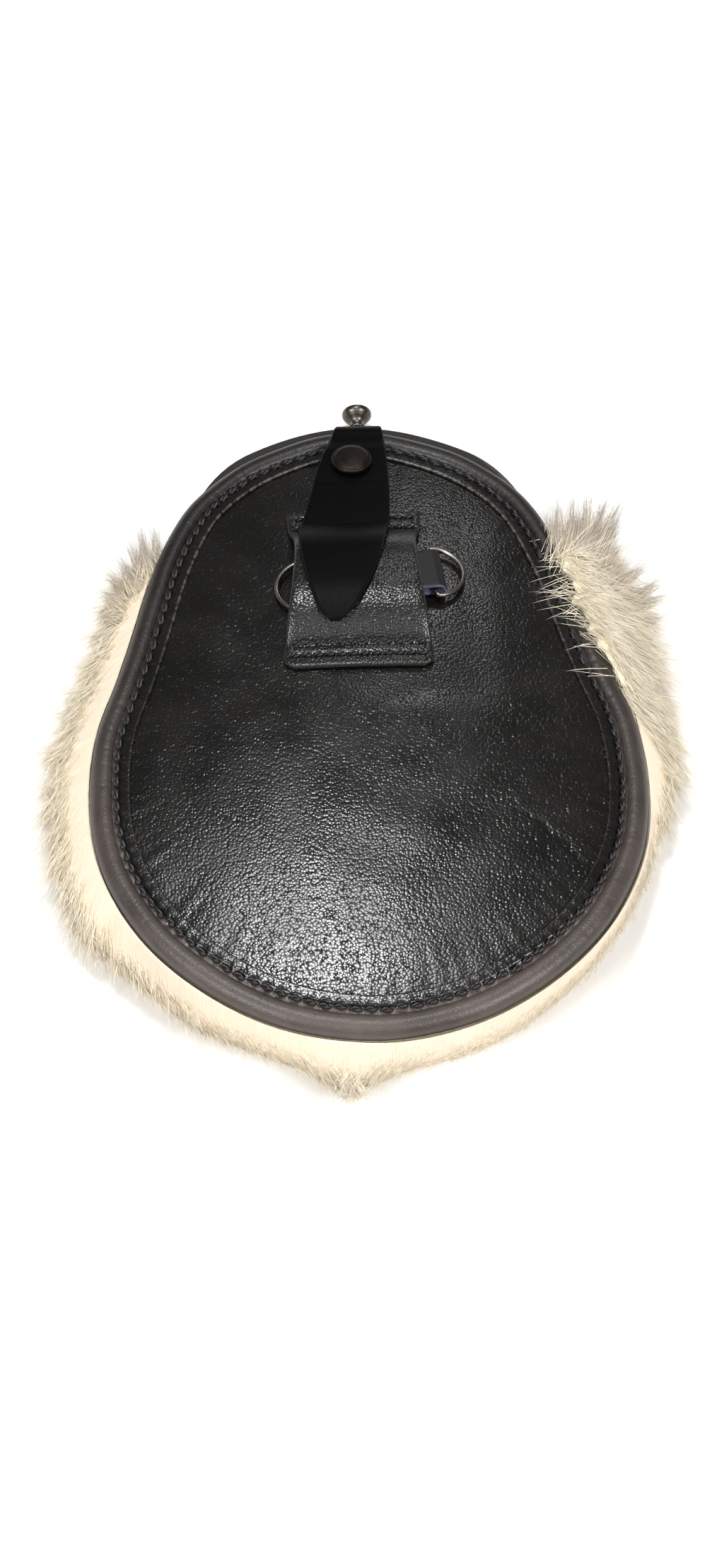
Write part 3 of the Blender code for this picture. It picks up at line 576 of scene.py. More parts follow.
def simulate_padding():
    """How far a held sheet of leather swells, at each place of a coarse grid.

    The rise is averaged with its neighbours and kept below a limit: limit x tanh(rise / limit).
    """
    angles = np.arange(PAD_COLUMNS) * 360 / PAD_COLUMNS
    shares = np.linspace(0, 1, PAD_ROWS)
    x, y = back_places(angles, shares, BINDING_BITE)
    start = np.stack([x, y, back_z(x, y)], axis=-1)
    sheet = bpy.data.meshes.new("padding_sheet")
    flat = np.concatenate([start[:1, 0], start[:, 1:].reshape(-1, 3)])
    index = np.arange(1, len(flat)).reshape(PAD_COLUMNS, PAD_ROWS - 1)
    after = np.roll(index, -1, axis=0)
    quads = np.stack([index[:, :-1], index[:, 1:], after[:, 1:], after[:, :-1]], -1).reshape(-1, 4)
    middle = np.stack([np.zeros(PAD_COLUMNS, int), index[:, 0], after[:, 0]], -1)
    sheet.from_pydata(flat.tolist(), [], quads.tolist() + middle.tolist())
    cloth_object = bpy.data.objects.new("padding_sheet", sheet)
    bpy.context.scene.collection.objects.link(cloth_object)
    held = cloth_object.vertex_groups.new(name="held")
    holds = 1 - quiet_middle(flat[:, 0], flat[:, 1])
    holds[index[:, -2:].ravel()] = 1
    for number in np.flatnonzero(holds > 0.5):
        held.add([int(number)], 1.0, "REPLACE")
    cloth = cloth_object.modifiers.new("Cloth", "CLOTH")
    cloth.settings.vertex_group_mass = "held"
    cloth.settings.use_pressure = True
    cloth.settings.uniform_pressure_force = PAD_PRESSURE
    cloth.settings.shrink_min = -PAD_SPARE
    cloth.settings.bending_stiffness = PAD_STIFFNESS
    cloth.settings.effector_weights.gravity = 0
    cloth.point_cache.frame_start = 1
    cloth.point_cache.frame_end = PAD_FRAMES
    scene = bpy.context.scene
    for number in range(1, PAD_FRAMES + 1):
        scene.frame_set(number)
    shown = cloth_object.evaluated_get(bpy.context.evaluated_depsgraph_get())
    settled = np.empty(len(flat) * 3, np.float32)
    shown.data.vertices.foreach_get("co", settled)
    rise = settled.reshape(-1, 3)[:, 2] - flat[:, 2]
    bpy.data.objects.remove(cloth_object, do_unlink=True)
    bpy.data.meshes.remove(sheet)
    scene.frame_set(1)
    grid = np.empty((PAD_COLUMNS, PAD_ROWS))
    grid[:, 0] = rise[0]
    grid[:, 1:] = rise[1:].reshape(PAD_COLUMNS, PAD_ROWS - 1)
    for _ in range(PAD_BLURS):
        grid = (np.roll(grid, 1, axis=0) + 2 * grid + np.roll(grid, -1, axis=0)) / 4
        grid[:, 1:-1] = (grid[:, :-2] + 2 * grid[:, 1:-1] + grid[:, 2:]) / 4
    return PAD_RISE_LIMIT * np.tanh(grid / PAD_RISE_LIMIT)


padding = simulate_padding()
print("padding rises by %.2f to %.2f mm" % (padding.min() / MM, padding.max() / MM))

# %% [markdown]
# ## Creases, a scuff and a scratch
#
# Worn leather folds where the pouch bends against the body. On this back the creases lie to the
# lower right, and there is a scuff left of the belt loop. Each crease is a short line: a dent of a
# given depth along it, with the leather heaped up beside it. They are kept as a table of place,
# heading, length and depth, and the height of the back adds them all up.

# %% Creases
CREASE_WIDTH = 0.75 * MM
CREASE_STRENGTH = 0.6
CREASE_HEAP = 1.2
CREASE_WANDER = 0.7 * MM
CREASES = (
    # x and y in mm from the middle, heading in degrees, length in mm, depth in mm
    (44, -34, -42, 13, 0.28),
    (51, -40, -46, 15, 0.42),
    (57, -47, -40, 16, 0.46),
    (62, -45, -52, 10, 0.30),
    (49, -47, -30, 9, 0.25),
    (60, -38, -35, 10, 0.22),
    (63, -53, -48, 8, 0.25),
    (54, -33, -28, 8, 0.18),
    (35, 6, -22, 9, 0.18),
    (44, 1, -30, 11, 0.26),
    (53, -3, -36, 9, 0.24),
    (58, 4, -20, 8, 0.20),
    (61, -14, -15, 9, 0.24),
    (65, -22, -25, 8, 0.26),
    (62, -29, -20, 8, 0.20),
    (-33, 37, -20, 8, 0.22),
    (-29, 35, 35, 5, 0.20),
    (-37, 39, 12, 4, 0.16),
    (36, 38, 4, 17, 0.10),
)


def crease_height(x, y):
    """Dents along short lines: -depth (1 - heap d²) exp(-d²), d being the distance in widths."""
    total = np.zeros_like(x)
    for number, (cx, cy, heading, length, depth) in enumerate(CREASES):
        turn = math.radians(heading)
        dx = x - cx * MM
        dy = y - cy * MM
        along = dx * math.cos(turn) + dy * math.sin(turn)
        across = -dx * math.sin(turn) + dy * math.cos(turn)
        across = across + CREASE_WANDER * waves(along, (9 * MM, 4.3 * MM, 2.6 * MM), seed=number)
        squared = (across / CREASE_WIDTH) ** 2
        fade = np.exp(-((along / (0.5 * length * MM)) ** 4))
        total -= CREASE_STRENGTH * depth * MM * (1 - CREASE_HEAP * squared) * np.exp(-squared) * fade
    return total


print("creases:", len(CREASES), "the longest is", max(row[3] for row in CREASES), "mm")

# %% [markdown]
# ## The back's leather
#
# The sheet runs out from the middle along its top, over the rim and back underneath, so that it is
# closed and has the leather's own thickness. A subdivided disc would do, but here each point's
# height is worked out directly: the dome, what the padding adds, the creases, and small puckers
# where the stitches pull. Its rows stand closer together towards the rim, where the puckers are.

# %% The back leather
BACK_COLUMNS = 480
BACK_ROWS = 92
BACK_ROWS_CROWD = 0.85
INNER_ROWS = 8
SEAM_BEGINS = 0.88
SEAM_RUN = 0.12
PUCKER_BEGINS = 0.72
PUCKER_RUN = 0.2
PUCKER_HEIGHT = 0.05 * MM
SOFT_ROLL_HEIGHT = 0.09 * MM


def back_relief(x, y, angles, shares):
    """What stands on the back's plain dome: padding and soft rolls away from the middle, creases,
    and small puckers near the seam, all of which fade out where the binding holds the leather."""
    column = (angles % 360) * PAD_COLUMNS / 360
    row = shares * (PAD_ROWS - 1)
    c0 = np.floor(column).astype(int) % PAD_COLUMNS
    r0 = np.clip(np.floor(row).astype(int), 0, PAD_ROWS - 2)
    u = ease(column - np.floor(column))[:, None]
    v = (row - r0)[None, :]
    c1 = (c0 + 1) % PAD_COLUMNS
    low = padding[c0][:, r0] * (1 - v) + padding[c0][:, r0 + 1] * v
    high = padding[c1][:, r0] * (1 - v) + padding[c1][:, r0 + 1] * v
    swell = low * (1 - u) + high * u
    mask = quiet_middle(x, y)
    broad = waves(x + 0.4 * y, (47 * MM, 31 * MM), seed=5) * waves(y - 0.3 * x, (53 * MM, 26 * MM), seed=6)
    seam = ease((shares[None, :] - SEAM_BEGINS) / SEAM_RUN)
    near_seam = ease((shares[None, :] - PUCKER_BEGINS) / PUCKER_RUN)
    pulled = waves(np.radians(angles) * 80 * MM, (9.5 * MM, 6.1 * MM, 4.6 * MM), seed=7)[:, None]
    return (
        (swell + SOFT_ROLL_HEIGHT * broad) * mask * (1 - seam)
        + crease_height(x, y) * (1 - seam)
        + PUCKER_HEIGHT * pulled * near_seam * (1 - seam)
    )


def polar_sheet(name, angles, outer_shares, places, top_z, bottom_z, sharp=50):
    """A round sheet: out along the top from the middle, over its rim and back underneath."""
    inner_shares = np.linspace(1, 0, INNER_ROWS)
    x_top, y_top = places(angles, outer_shares)
    x_low, y_low = places(angles, inner_shares)
    top = np.stack([x_top, y_top, top_z(x_top, y_top)], axis=-1)
    low = np.stack([x_low, y_low, bottom_z(x_low, y_low)], axis=-1)
    points = np.concatenate([top, low], axis=1)
    faces = grid_faces(*points.shape[:2], True, False)
    return piece_from(name, points, faces, sharp=sharp)


back_angles = np.arange(BACK_COLUMNS) * 360 / BACK_COLUMNS
back_shares = np.linspace(0, 1, BACK_ROWS) ** BACK_ROWS_CROWD
back_leather = polar_sheet(
    "back_leather",
    back_angles,
    back_shares,
    lambda angles, shares: back_places(angles, shares, BINDING_BITE),
    lambda x, y: back_z(x, y) + back_relief(x, y, back_angles, back_shares),
    lambda x, y: back_z(x, y) - BACK_THICKNESS,
)
dress(back_leather, pebbled_cowhide, "grained_leather", "back_panel")
print("back leather faces:", len(back_leather.data.polygons))

# %% [markdown]
# ## The rolled binding
#
# A strip of soft leather is folded round the edge over a cord, so that it stands up as a roll, and
# its raw edge lies on the back inside of the stitches. A bevelled curve would give a plain tube.
# Carrying a drawn section along the outline gives the roll, the stitch groove and the raw lip at
# once, and lets the leather pucker at each stitch and wrinkle where the pouch has been bent.

# %% The binding's section
BINDING_WIDTH = 11.5 * MM
BINDING_LEATHER = 0.9 * MM
BINDING_FOLD = 1 * MM
LIP_RADIUS = 0.5 * MM
LIP_ROWS = 5
LIP_FLATS = (0.8 * MM, 1.3 * MM)
ROLL_STARTS = 146
ROLL_ENDS = -84
ROLL_ROWS = 38
GROOVE_ROWS = 8
FREE_WHEN_FLAT = 0.2
FREE_IN_GROOVE = 0.5
STITCH_INSET = 7.6 * MM
GROOVE_WIDTH = 2.6 * MM
GROOVE_DEPTH = 0.7 * MM


def binding_profile():
    """Outward place, rise, and how freely the leather can wrinkle, once round the fold."""
    top = CLEARANCE + BINDING_LEATHER
    middle = ROLL_WIDTH / 2
    centre = (ROLL_RISE - ROLL_DROP) / 2
    half_height = (ROLL_RISE + ROLL_DROP) / 2
    lip = np.radians(np.linspace(180, 90, LIP_ROWS))
    rows = [(-BINDING_WIDTH, CLEARANCE, 0.0)]
    rows += [
        (-BINDING_WIDTH + LIP_RADIUS * (1 + c), top - LIP_RADIUS * (1 - s), FREE_WHEN_FLAT)
        for c, s in zip(np.cos(lip), np.sin(lip))
    ]
    rows += [(-BINDING_WIDTH + inward, top, FREE_WHEN_FLAT) for inward in LIP_FLATS]
    for a in np.linspace(-1, 0, GROOVE_ROWS):
        groove = GROOVE_DEPTH * (0.5 + 0.5 * math.cos(math.pi * a))
        rows.append((-STITCH_INSET + a * GROOVE_WIDTH / 2, top - groove, FREE_IN_GROOVE))
    turns = np.radians(np.linspace(ROLL_STARTS, ROLL_ENDS, ROLL_ROWS))
    free = np.clip((np.degrees(turns) + 40) / 90, 0, 1)
    rows += [
        (-middle + middle * math.cos(t), centre + half_height * math.sin(t), f) for t, f in zip(turns, free)
    ]
    under = -BACK_THICKNESS - CLEARANCE
    slot = -BINDING_BITE + CLEARANCE
    fold = slot - BINDING_FOLD
    rows += [(fold, -ROLL_DROP, 0), (fold, under, 0), (slot, under, 0), (slot, CLEARANCE, 0)]
    return np.array(rows)


print("points once round the binding's fold:", len(binding_profile()))

# %% The binding
STITCH_PITCH = 4.5 * MM
BINDING_COLUMNS = 900
LEAST_WRINKLE = 0.012
STITCH_LIFT = 0.16 * MM
STITCH_LIFT_WIDTH = 1.1 * MM
STITCH_SWELL = 0.03 * MM
STITCH_SWELL_WIDTH = 3.4 * MM
SLOW_RISE = 0.08 * MM
SLOW_SWAY = 0.12 * MM
RAW_EDGE_INSET = 0.25 * MM
RAW_EDGE_WIDTH = 0.35 * MM
WRINKLED = (
    # middle angle and spread in degrees, how deep in mm
    (185, 16, 0.07),
    (-38, 17, 0.06),
    (14, 9, 0.12),
    (118, 14, 0.03),
)
stitch_count = round(perimeter_length[-1] / STITCH_PITCH)


def along_outline(distance):
    """The angle at which the outline has run a given distance from the bottom."""
    return np.interp(distance % perimeter_length[-1], perimeter_length, perimeter_angles)


def make_binding():
    """The profile carried round the outline: its rise plus wrinkles, a lift at each stitch and slow
    waves, all in proportion to how free the leather is there."""
    distances = np.arange(BINDING_COLUMNS) / BINDING_COLUMNS * perimeter_length[-1]
    angles = along_outline(distances)
    outward, rise, free = binding_profile().T
    wrinkles = waves(distances, (5.3 * MM, 3.7 * MM, 2.3 * MM, 7.9 * MM, 1.9 * MM), seed=21)[:, None]
    slow = waves(distances, (37 * MM, 61 * MM, 23 * MM), seed=22)[:, None]
    depth = np.full_like(angles, LEAST_WRINKLE)
    for middle, spread, deep in WRINKLED:
        depth = depth + deep * np.exp(-((((angles - middle + 180) % 360 - 180) / spread) ** 2))
    stitch_phase = np.cos(math.tau * distances * stitch_count / perimeter_length[-1])[:, None]
    in_groove = np.exp(-(((outward + STITCH_INSET) / STITCH_LIFT_WIDTH) ** 2))[None, :] * (rise > 0)
    beside = np.exp(-(((outward + STITCH_INSET) / STITCH_SWELL_WIDTH) ** 2))[None, :] * (rise > 0)
    up = (
        -wrinkles**2 * depth[:, None] * MM * free
        + STITCH_LIFT * stitch_phase * in_groove
        + STITCH_SWELL * stitch_phase * beside
        + SLOW_RISE * slow * free
    )
    out = outward[None, :] + SLOW_SWAY * slow * free
    x, y = edge(angles[:, None], out)
    points = np.stack([x, y, back_z(x, y) + rise + up], axis=-1)
    # The raw edge's pale line is partly the paler cut leather and partly a painted highlight: it is patchy
    # and strongest towards the top of the pouch
    from_raw_edge = (outward + BINDING_WIDTH - RAW_EDGE_INSET) / RAW_EDGE_WIDTH
    raw_edge = np.exp(-(from_raw_edge**2)) * (rise > 0)
    edge_highlight_share = 0.5 + 0.5 * waves(distances, (6.3 * MM, 3.7 * MM, 2.1 * MM), seed=23)
    edge_highlight_share = edge_highlight_share * (0.15 + 0.85 * ease(edge(angles, 0)[1] / (60 * MM)))
    mark = np.clip(edge_highlight_share[:, None] * raw_edge[None, :], 0, 1)
    on_roll = ease((outward + STITCH_INSET) / MM + 0.5) + (rise < 0)
    uv = np.stack([np.broadcast_to(np.clip(on_roll, 0, 1), mark.shape), mark], axis=-1)
    return surface("binding_roll", points, rows_closed=True, uv=uv)


binding_roll = dress(make_binding(), soft_binding, "smooth_leather", "edge_binding")
print("binding faces:", len(binding_roll.data.polygons), "stitches:", stitch_count)

# %% [markdown]
# ## Twisted thread
#
# The seam is sewn by hand with a thick waxed thread of two plies. Each visible stitch is a short
# rope that rises out of one hole and dips into the next. All stitches are made at once: the two
# plies turn round each other along a small arch, and one array holds every stitch in its place.

# %% A stitch of two plies
PLY_RADIUS = 0.44 * MM
PLY_OFFSET = 0.40 * MM
PLY_TURNS = 0.85
PLY_RINGS = 9
PLY_SIDES = 6
PLY_START_SPREAD = 0.35


def thread_stitches(name, places, headings, ups, lengths, dip=0.9 * MM):
    """Stitches: two plies that turn round each other from hole to hole.

    A ply's middle is off the stitch's line by (cosine, sine) of a turn that grows with t, and is
    lowered by dip x |2t - 1|^2.6, which makes the arch.
    """
    along = headings / np.linalg.norm(headings, axis=1, keepdims=True)
    up = ups - along * np.einsum("ij,ij->i", ups, along)[:, None]
    up /= np.linalg.norm(up, axis=1, keepdims=True)
    side = np.cross(along, up)
    t = np.linspace(0, 1, PLY_RINGS)
    radius = PLY_RADIUS * np.sqrt(np.clip(1 - (2 * t - 1) ** 6, 0, 1))
    arch = -dip * np.abs(2 * t - 1) ** 2.6
    ply = np.array([0.0, math.pi])
    rng = np.random.default_rng(len(places))
    start = rng.uniform(-PLY_START_SPREAD, PLY_START_SPREAD, len(places))
    turn = start[:, None, None] + ply[None, :, None] + math.tau * PLY_TURNS * t[None, None, :]
    round_ply = np.linspace(0, math.tau, PLY_SIDES, endpoint=False)
    sideways = PLY_OFFSET * np.cos(turn)[..., None] + radius[:, None] * np.cos(round_ply)
    upward = PLY_OFFSET * np.sin(turn)[..., None] + radius[:, None] * np.sin(round_ply) + arch[:, None]
    forward = ((t - 0.5)[None, None, :, None] * lengths[:, None, None, None]) + 0 * sideways
    points = (
        places[:, None, None, None, :]
        + forward[..., None] * along[:, None, None, None, :]
        + sideways[..., None] * side[:, None, None, None, :]
        + upward[..., None] * up[:, None, None, None, :]
    )
    tubes = points.reshape(-1, PLY_RINGS, PLY_SIDES, 3)
    one = grid_faces(PLY_RINGS, PLY_SIDES, False, True)
    faces = (one[None] + (np.arange(len(tubes)) * PLY_RINGS * PLY_SIDES)[:, None, None]).reshape(-1, 4)
    return piece_from(name, tubes, faces, sharp=None)


print("faces in one stitch:", 2 * len(grid_faces(PLY_RINGS, PLY_SIDES, False, True)))

# %% Stitches round the edge
STITCH_JITTER = 0.18 * MM
STITCH_SLANT = 0.25 * MM
STITCH_PROUD = 0.62 * MM
STITCH_OVERLENGTH = 1.02


def edge_stitches():
    """One stitch for each pitch round the seam, slanted across it and set a little unevenly."""
    distances = (np.arange(stitch_count) + 0.5) * perimeter_length[-1] / stitch_count
    rng = np.random.default_rng(3)
    jitter = rng.normal(0, STITCH_JITTER, stitch_count)
    before = edge(along_outline(distances - 0.5 * STITCH_PITCH), -STITCH_INSET + jitter - STITCH_SLANT)
    after = edge(along_outline(distances + 0.5 * STITCH_PITCH), -STITCH_INSET + jitter + STITCH_SLANT)
    before = np.stack([*before, back_z(*before)], axis=-1)
    after = np.stack([*after, back_z(*after)], axis=-1)
    places = (before + after) / 2
    places[:, 2] += CLEARANCE + BINDING_LEATHER - GROOVE_DEPTH + STITCH_PROUD
    ups = np.tile((0.0, 0.0, 1.0), (stitch_count, 1))
    lengths = np.linalg.norm(after - before, axis=1) * STITCH_OVERLENGTH
    return thread_stitches("edge_stitches", places, after - before, ups, lengths)


stitches = dress(edge_stitches(), thread, "smooth_leather")
print("edge stitch faces:", len(stitches.data.polygons))

# %% [markdown]
# ## Straps of leather
#
# The belt loop, the ring strap and the closure tab are all strips of leather that run along a bent
# line. Solidify could thicken a plane, but its edges would be square. Here one function carries a
# section with half-round edges along the bent line, and thins it out at both ends. It also marks
# the cut edge in the UV map, so that the material can show the hide's paler inside there.

# %% A strip along a bent line
RIM_POINTS = 7
END_ROWS = 5
END_STARTS = 8
THINNEST = 0.0004


def leather_strip(name, path, left, right, thickness, place, side=-1, step=0.6 * MM, flats=20, flesh=0):
    """A rounded section carried along a bent line; place turns along, across and height to x, y, z."""
    path = np.asarray(path, float)
    run = np.concatenate([[0], np.cumsum(np.hypot(*np.diff(path, axis=0).T))])
    half = thickness / 2
    round_end = half * (1 - np.cos(np.radians(np.linspace(END_STARTS, 90, END_ROWS))))
    middle = np.arange(half + step, run[-1] - half - step / 2, step)
    rows = np.concatenate([round_end, middle, run[-1] - round_end[::-1]])
    along, height = (np.interp(rows, run, column) for column in path.T)
    left, right = (np.interp(rows, run, column) for column in (left, right))
    tangent = np.stack([np.gradient(along, rows), np.gradient(height, rows)])
    tangent /= np.hypot(*tangent)
    normal = np.stack([-tangent[1], tangent[0]])
    from_end = np.minimum(rows, run[-1] - rows)
    full = np.sqrt(np.clip(1 - (1 - np.minimum(from_end / half, 1)) ** 2, THINNEST, 1))
    rim = np.radians(np.linspace(-90, 90, RIM_POINTS))
    rim_out = np.cos(rim)
    rim_up = np.sin(rim)
    flat = np.linspace(1, -1, flats + 2)[1:-1]
    inner_right = (right - half)[:, None]
    inner_left = (left + half)[:, None]
    across = np.concatenate(
        [
            inner_right + half * rim_out,
            (inner_right + inner_left) / 2 + (inner_right - inner_left) / 2 * flat,
            inner_left - half * rim_out[::-1],
            (inner_right + inner_left) / 2 - (inner_right - inner_left) / 2 * flat,
        ],
        axis=1,
    )
    level = np.concatenate([rim_up, np.ones(flats), rim_up[::-1], -np.ones(flats)]) * half
    edge_mark = np.concatenate([rim_out**2, np.zeros(flats), rim_out[::-1] ** 2, np.zeros(flats)])
    offset = full[:, None] * level[None, :] + side * half
    forward, upward = (line[:, None] + way[:, None] * offset for line, way in zip((along, height), normal))
    points = place(forward, across, upward)
    flesh_side = np.clip(flesh * level / half, 0, 1)
    mark = np.maximum(np.maximum(edge_mark, flesh_side)[None, :], (1 - full)[:, None])
    mark = np.broadcast_to(mark, across.shape)
    uv = np.stack([np.broadcast_to(rows[:, None], across.shape) / (10 * MM), mark], axis=-1)
    return surface(name, points, uv=uv, sharp=None)


print("a strip's edge is rounded with", RIM_POINTS, "points")

# %% [markdown]
# ## The belt loop
#
# The belt runs through a patch that is sewn down at its top and its bottom and stands off the back
# in between. Two rows of stitches hold each end. The patch's height is the back's own height plus
# a bulge that is flat on its crest, and the thread sinks into a shallow groove.

# %% Belt loop
LOOP_LEATHER = 1.8 * MM
LOOP_BULGE = 8.5 * MM
LOOP_CREST_FLATNESS = 3.0
LOOP_FOOT_ROUNDNESS = 1.5
LOOP_SEWN = 7.5 * MM
LOOP_OUTLINE = (
    # of length from the top, of half width
    (0.00, 0.94),
    (0.12, 0.92),
    (0.25, 0.85),
    (0.38, 0.83),
    (0.52, 0.86),
    (0.70, 0.92),
    (0.85, 0.98),
    (0.94, 1.00),
    (0.975, 0.97),
    (1.00, 0.86),
)
LOOP_STITCH_ROWS = (
    # distance from the top in mm, width of the row as a share of the patch
    (2.6, 0.90),
    (6.6, 0.90),
    (50.6, 0.92),
    (54.6, 0.92),
)
LOOP_DENT_WIDTH = 0.8 * MM
LOOP_DENT_DEPTH = 0.35 * MM


def loop_bulge(y):
    """How far the patch stands off: bulge x (1 - a³)^1.5, a being the way from crest to seam."""
    half = LOOP_LENGTH / 2 - LOOP_SEWN
    middle = LOOP_TOP - LOOP_LENGTH / 2
    across = np.clip(np.abs(y - middle) / half, 0, 1)
    return LOOP_BULGE * (1 - across**LOOP_CREST_FLATNESS) ** LOOP_FOOT_ROUNDNESS


def loop_place(y, across, height):
    """The back's height plus the patch's own, less a dent of depth x exp(-d²) along each stitch row."""
    x = LOOP_MIDDLE_X + across
    dents = np.zeros_like(x)
    for down, wide in LOOP_STITCH_ROWS:
        row = np.exp(-(((LOOP_TOP - down * MM - y) / LOOP_DENT_WIDTH) ** 2))
        dents = dents - LOOP_DENT_DEPTH * row * ease((wide * LOOP_HALF_WIDTH - np.abs(across)) / MM)
    return np.stack([x, y, back_z(x, y) + height + dents], axis=-1)


def loop_half_width(distance):
    """Half the patch's width at a distance from its top, on the smooth curve through its table."""
    down, wide = np.array(LOOP_OUTLINE).T
    return LOOP_HALF_WIDTH * smooth(down, wide, distance / LOOP_LENGTH)


def make_belt_loop():
    """A strip as wide as the patch's outline, along a line that follows its bulge."""
    shares = np.linspace(0, 1, 240)
    y = LOOP_TOP - LOOP_LENGTH * shares
    half_width = loop_half_width(LOOP_LENGTH * shares)
    path = np.stack([y, CLEARANCE + loop_bulge(y)], axis=-1)
    return leather_strip("belt_loop_patch", path, -half_width, half_width, LOOP_LEATHER, loop_place)


belt_loop = dress(make_belt_loop(), belt_loop_hide, "grained_leather", "belt_loop")
print("belt loop faces:", len(belt_loop.data.polygons))

# %% The belt loop's stitches
LOOP_STITCH_PITCH = 3.3 * MM
LOOP_STITCH_PROUD = 0.15 * MM
LOOP_STITCH_SHARE = 0.98
LOOP_STITCH_SLANT = 0.04
LOOP_STITCH_DIP = 0.8 * MM
LOOP_ROW_PAIRS = ((0, 1), (2, 3))


def loop_stitches():
    """Even stitches along each row, and one upright at each end between the two rows of a pair.

    A row of the table holds a place across and along, and which way the stitch heads.
    """
    places = []
    for down, wide in LOOP_STITCH_ROWS:
        half = wide * loop_half_width(np.array([down * MM]))[0]
        count = round(2 * half / LOOP_STITCH_PITCH)
        across = (np.arange(count) + 0.5) / count * 2 * half - half
        along = np.full(count, LOOP_TOP - down * MM)
        places.append(np.stack([across, along, np.ones(count), 0 * across], axis=-1))
    for first, second in LOOP_ROW_PAIRS:
        top, wide = LOOP_STITCH_ROWS[first]
        low = LOOP_STITCH_ROWS[second][0]
        ends = np.array([-wide, wide]) * loop_half_width(np.array([top * MM]))[0]
        between = LOOP_TOP - (top + low) / 2 * MM
        places.append(np.stack([ends, np.full(2, between), np.zeros(2), np.ones(2)], axis=-1))
    rows = np.concatenate(places)
    x = LOOP_MIDDLE_X + rows[:, 0]
    y = rows[:, 1]
    z = back_z(x, y) + CLEARANCE + loop_bulge(y) + LOOP_LEATHER + LOOP_STITCH_PROUD
    slope = (loop_bulge(y + MM) - loop_bulge(y - MM)) / (2 * MM)
    ups = np.stack([0 * x, -slope, 0 * x + 1], axis=-1)
    climb = slope * rows[:, 3] - LOOP_STITCH_SLANT * rows[:, 2]
    headings = np.stack([rows[:, 2], rows[:, 3], climb], axis=-1)
    lengths = np.full(len(x), LOOP_STITCH_PITCH * LOOP_STITCH_SHARE)
    middles = np.stack([x, y, z], axis=-1)
    return thread_stitches("belt_loop_stitches", middles, headings, ups, lengths, LOOP_STITCH_DIP)


loop_thread = dress(loop_stitches(), thread, "grained_leather")
print("belt loop stitch faces:", len(loop_thread.data.polygons))

# %% [markdown]
# ## The ring strap and the rings
#
# A short strap lies under the belt loop and folds round the straight bar of a D-ring at each end.
# Its cut edge shows the split side of the hide, grey with a violet cast. The rings are bent from
# wire: a circle carried round a closed line of a bar and a bow. Each ring's place and the line it
# swings on are read from its joint in the frame, so that it moves with its own body.

# %% Ring strap
STRAP_LEATHER = 1.2 * MM
STRAP_WIDTH = 14.6 * MM
STRAP_FOLD = 21.6 * MM
STRAP_RETURN = 11 * MM
STRAP_ROOM = 2.4 * MM
STRAP_MIDDLE = (2.5 * MM, 47.2 * MM)
STRAP_TURN = math.radians(6.5)


def strap_place(along, across, rise):
    """Along and across turned by the strap's own turn about its middle, and raised off the back."""
    x = STRAP_MIDDLE[0] + along * math.cos(STRAP_TURN) - across * math.sin(STRAP_TURN)
    y = STRAP_MIDDLE[1] + along * math.sin(STRAP_TURN) + across * math.cos(STRAP_TURN)
    return np.stack([x, y, back_z(x, y) + rise], axis=-1)


def make_ring_strap():
    """Half its line is the flat run, a half circle round the ring's bar and the return; then mirrored."""
    radius = (STRAP_LEATHER + STRAP_ROOM) / 2
    low = CLEARANCE + STRAP_LEATHER / 2
    bend = STRAP_FOLD - STRAP_LEATHER / 2 - radius
    turns = np.radians(np.linspace(90, -90, 25))
    fold = np.stack([bend + radius * np.cos(turns), low + radius + radius * np.sin(turns)], axis=-1)
    half = np.concatenate([[(STRAP_RETURN, low + 2 * radius)], fold, [(0, low)]])
    path = np.concatenate([half, (half * (-1, 1))[-2::-1]])
    wide = np.full(len(path), STRAP_WIDTH / 2)
    return leather_strip(
        "ring_strap_leather", path, -wide, wide, STRAP_LEATHER, strap_place, side=0, flats=10, flesh=-1
    )


ring_strap = dress(make_ring_strap(), strap_hide, "strap_leather", "ring_strap")
print("ring strap faces:", len(ring_strap.data.polygons))

# %% D-rings
RING_WIRE = 1.5 * MM
RING_LENGTH = 20 * MM
RING_CORNER = 1.2 * MM
RING_COLUMNS = 168
RING_SIDES = 16
RING_ROUNDINGS = 2
BOW_HALF_ANGLE = 78
BOW_POINTS = 60


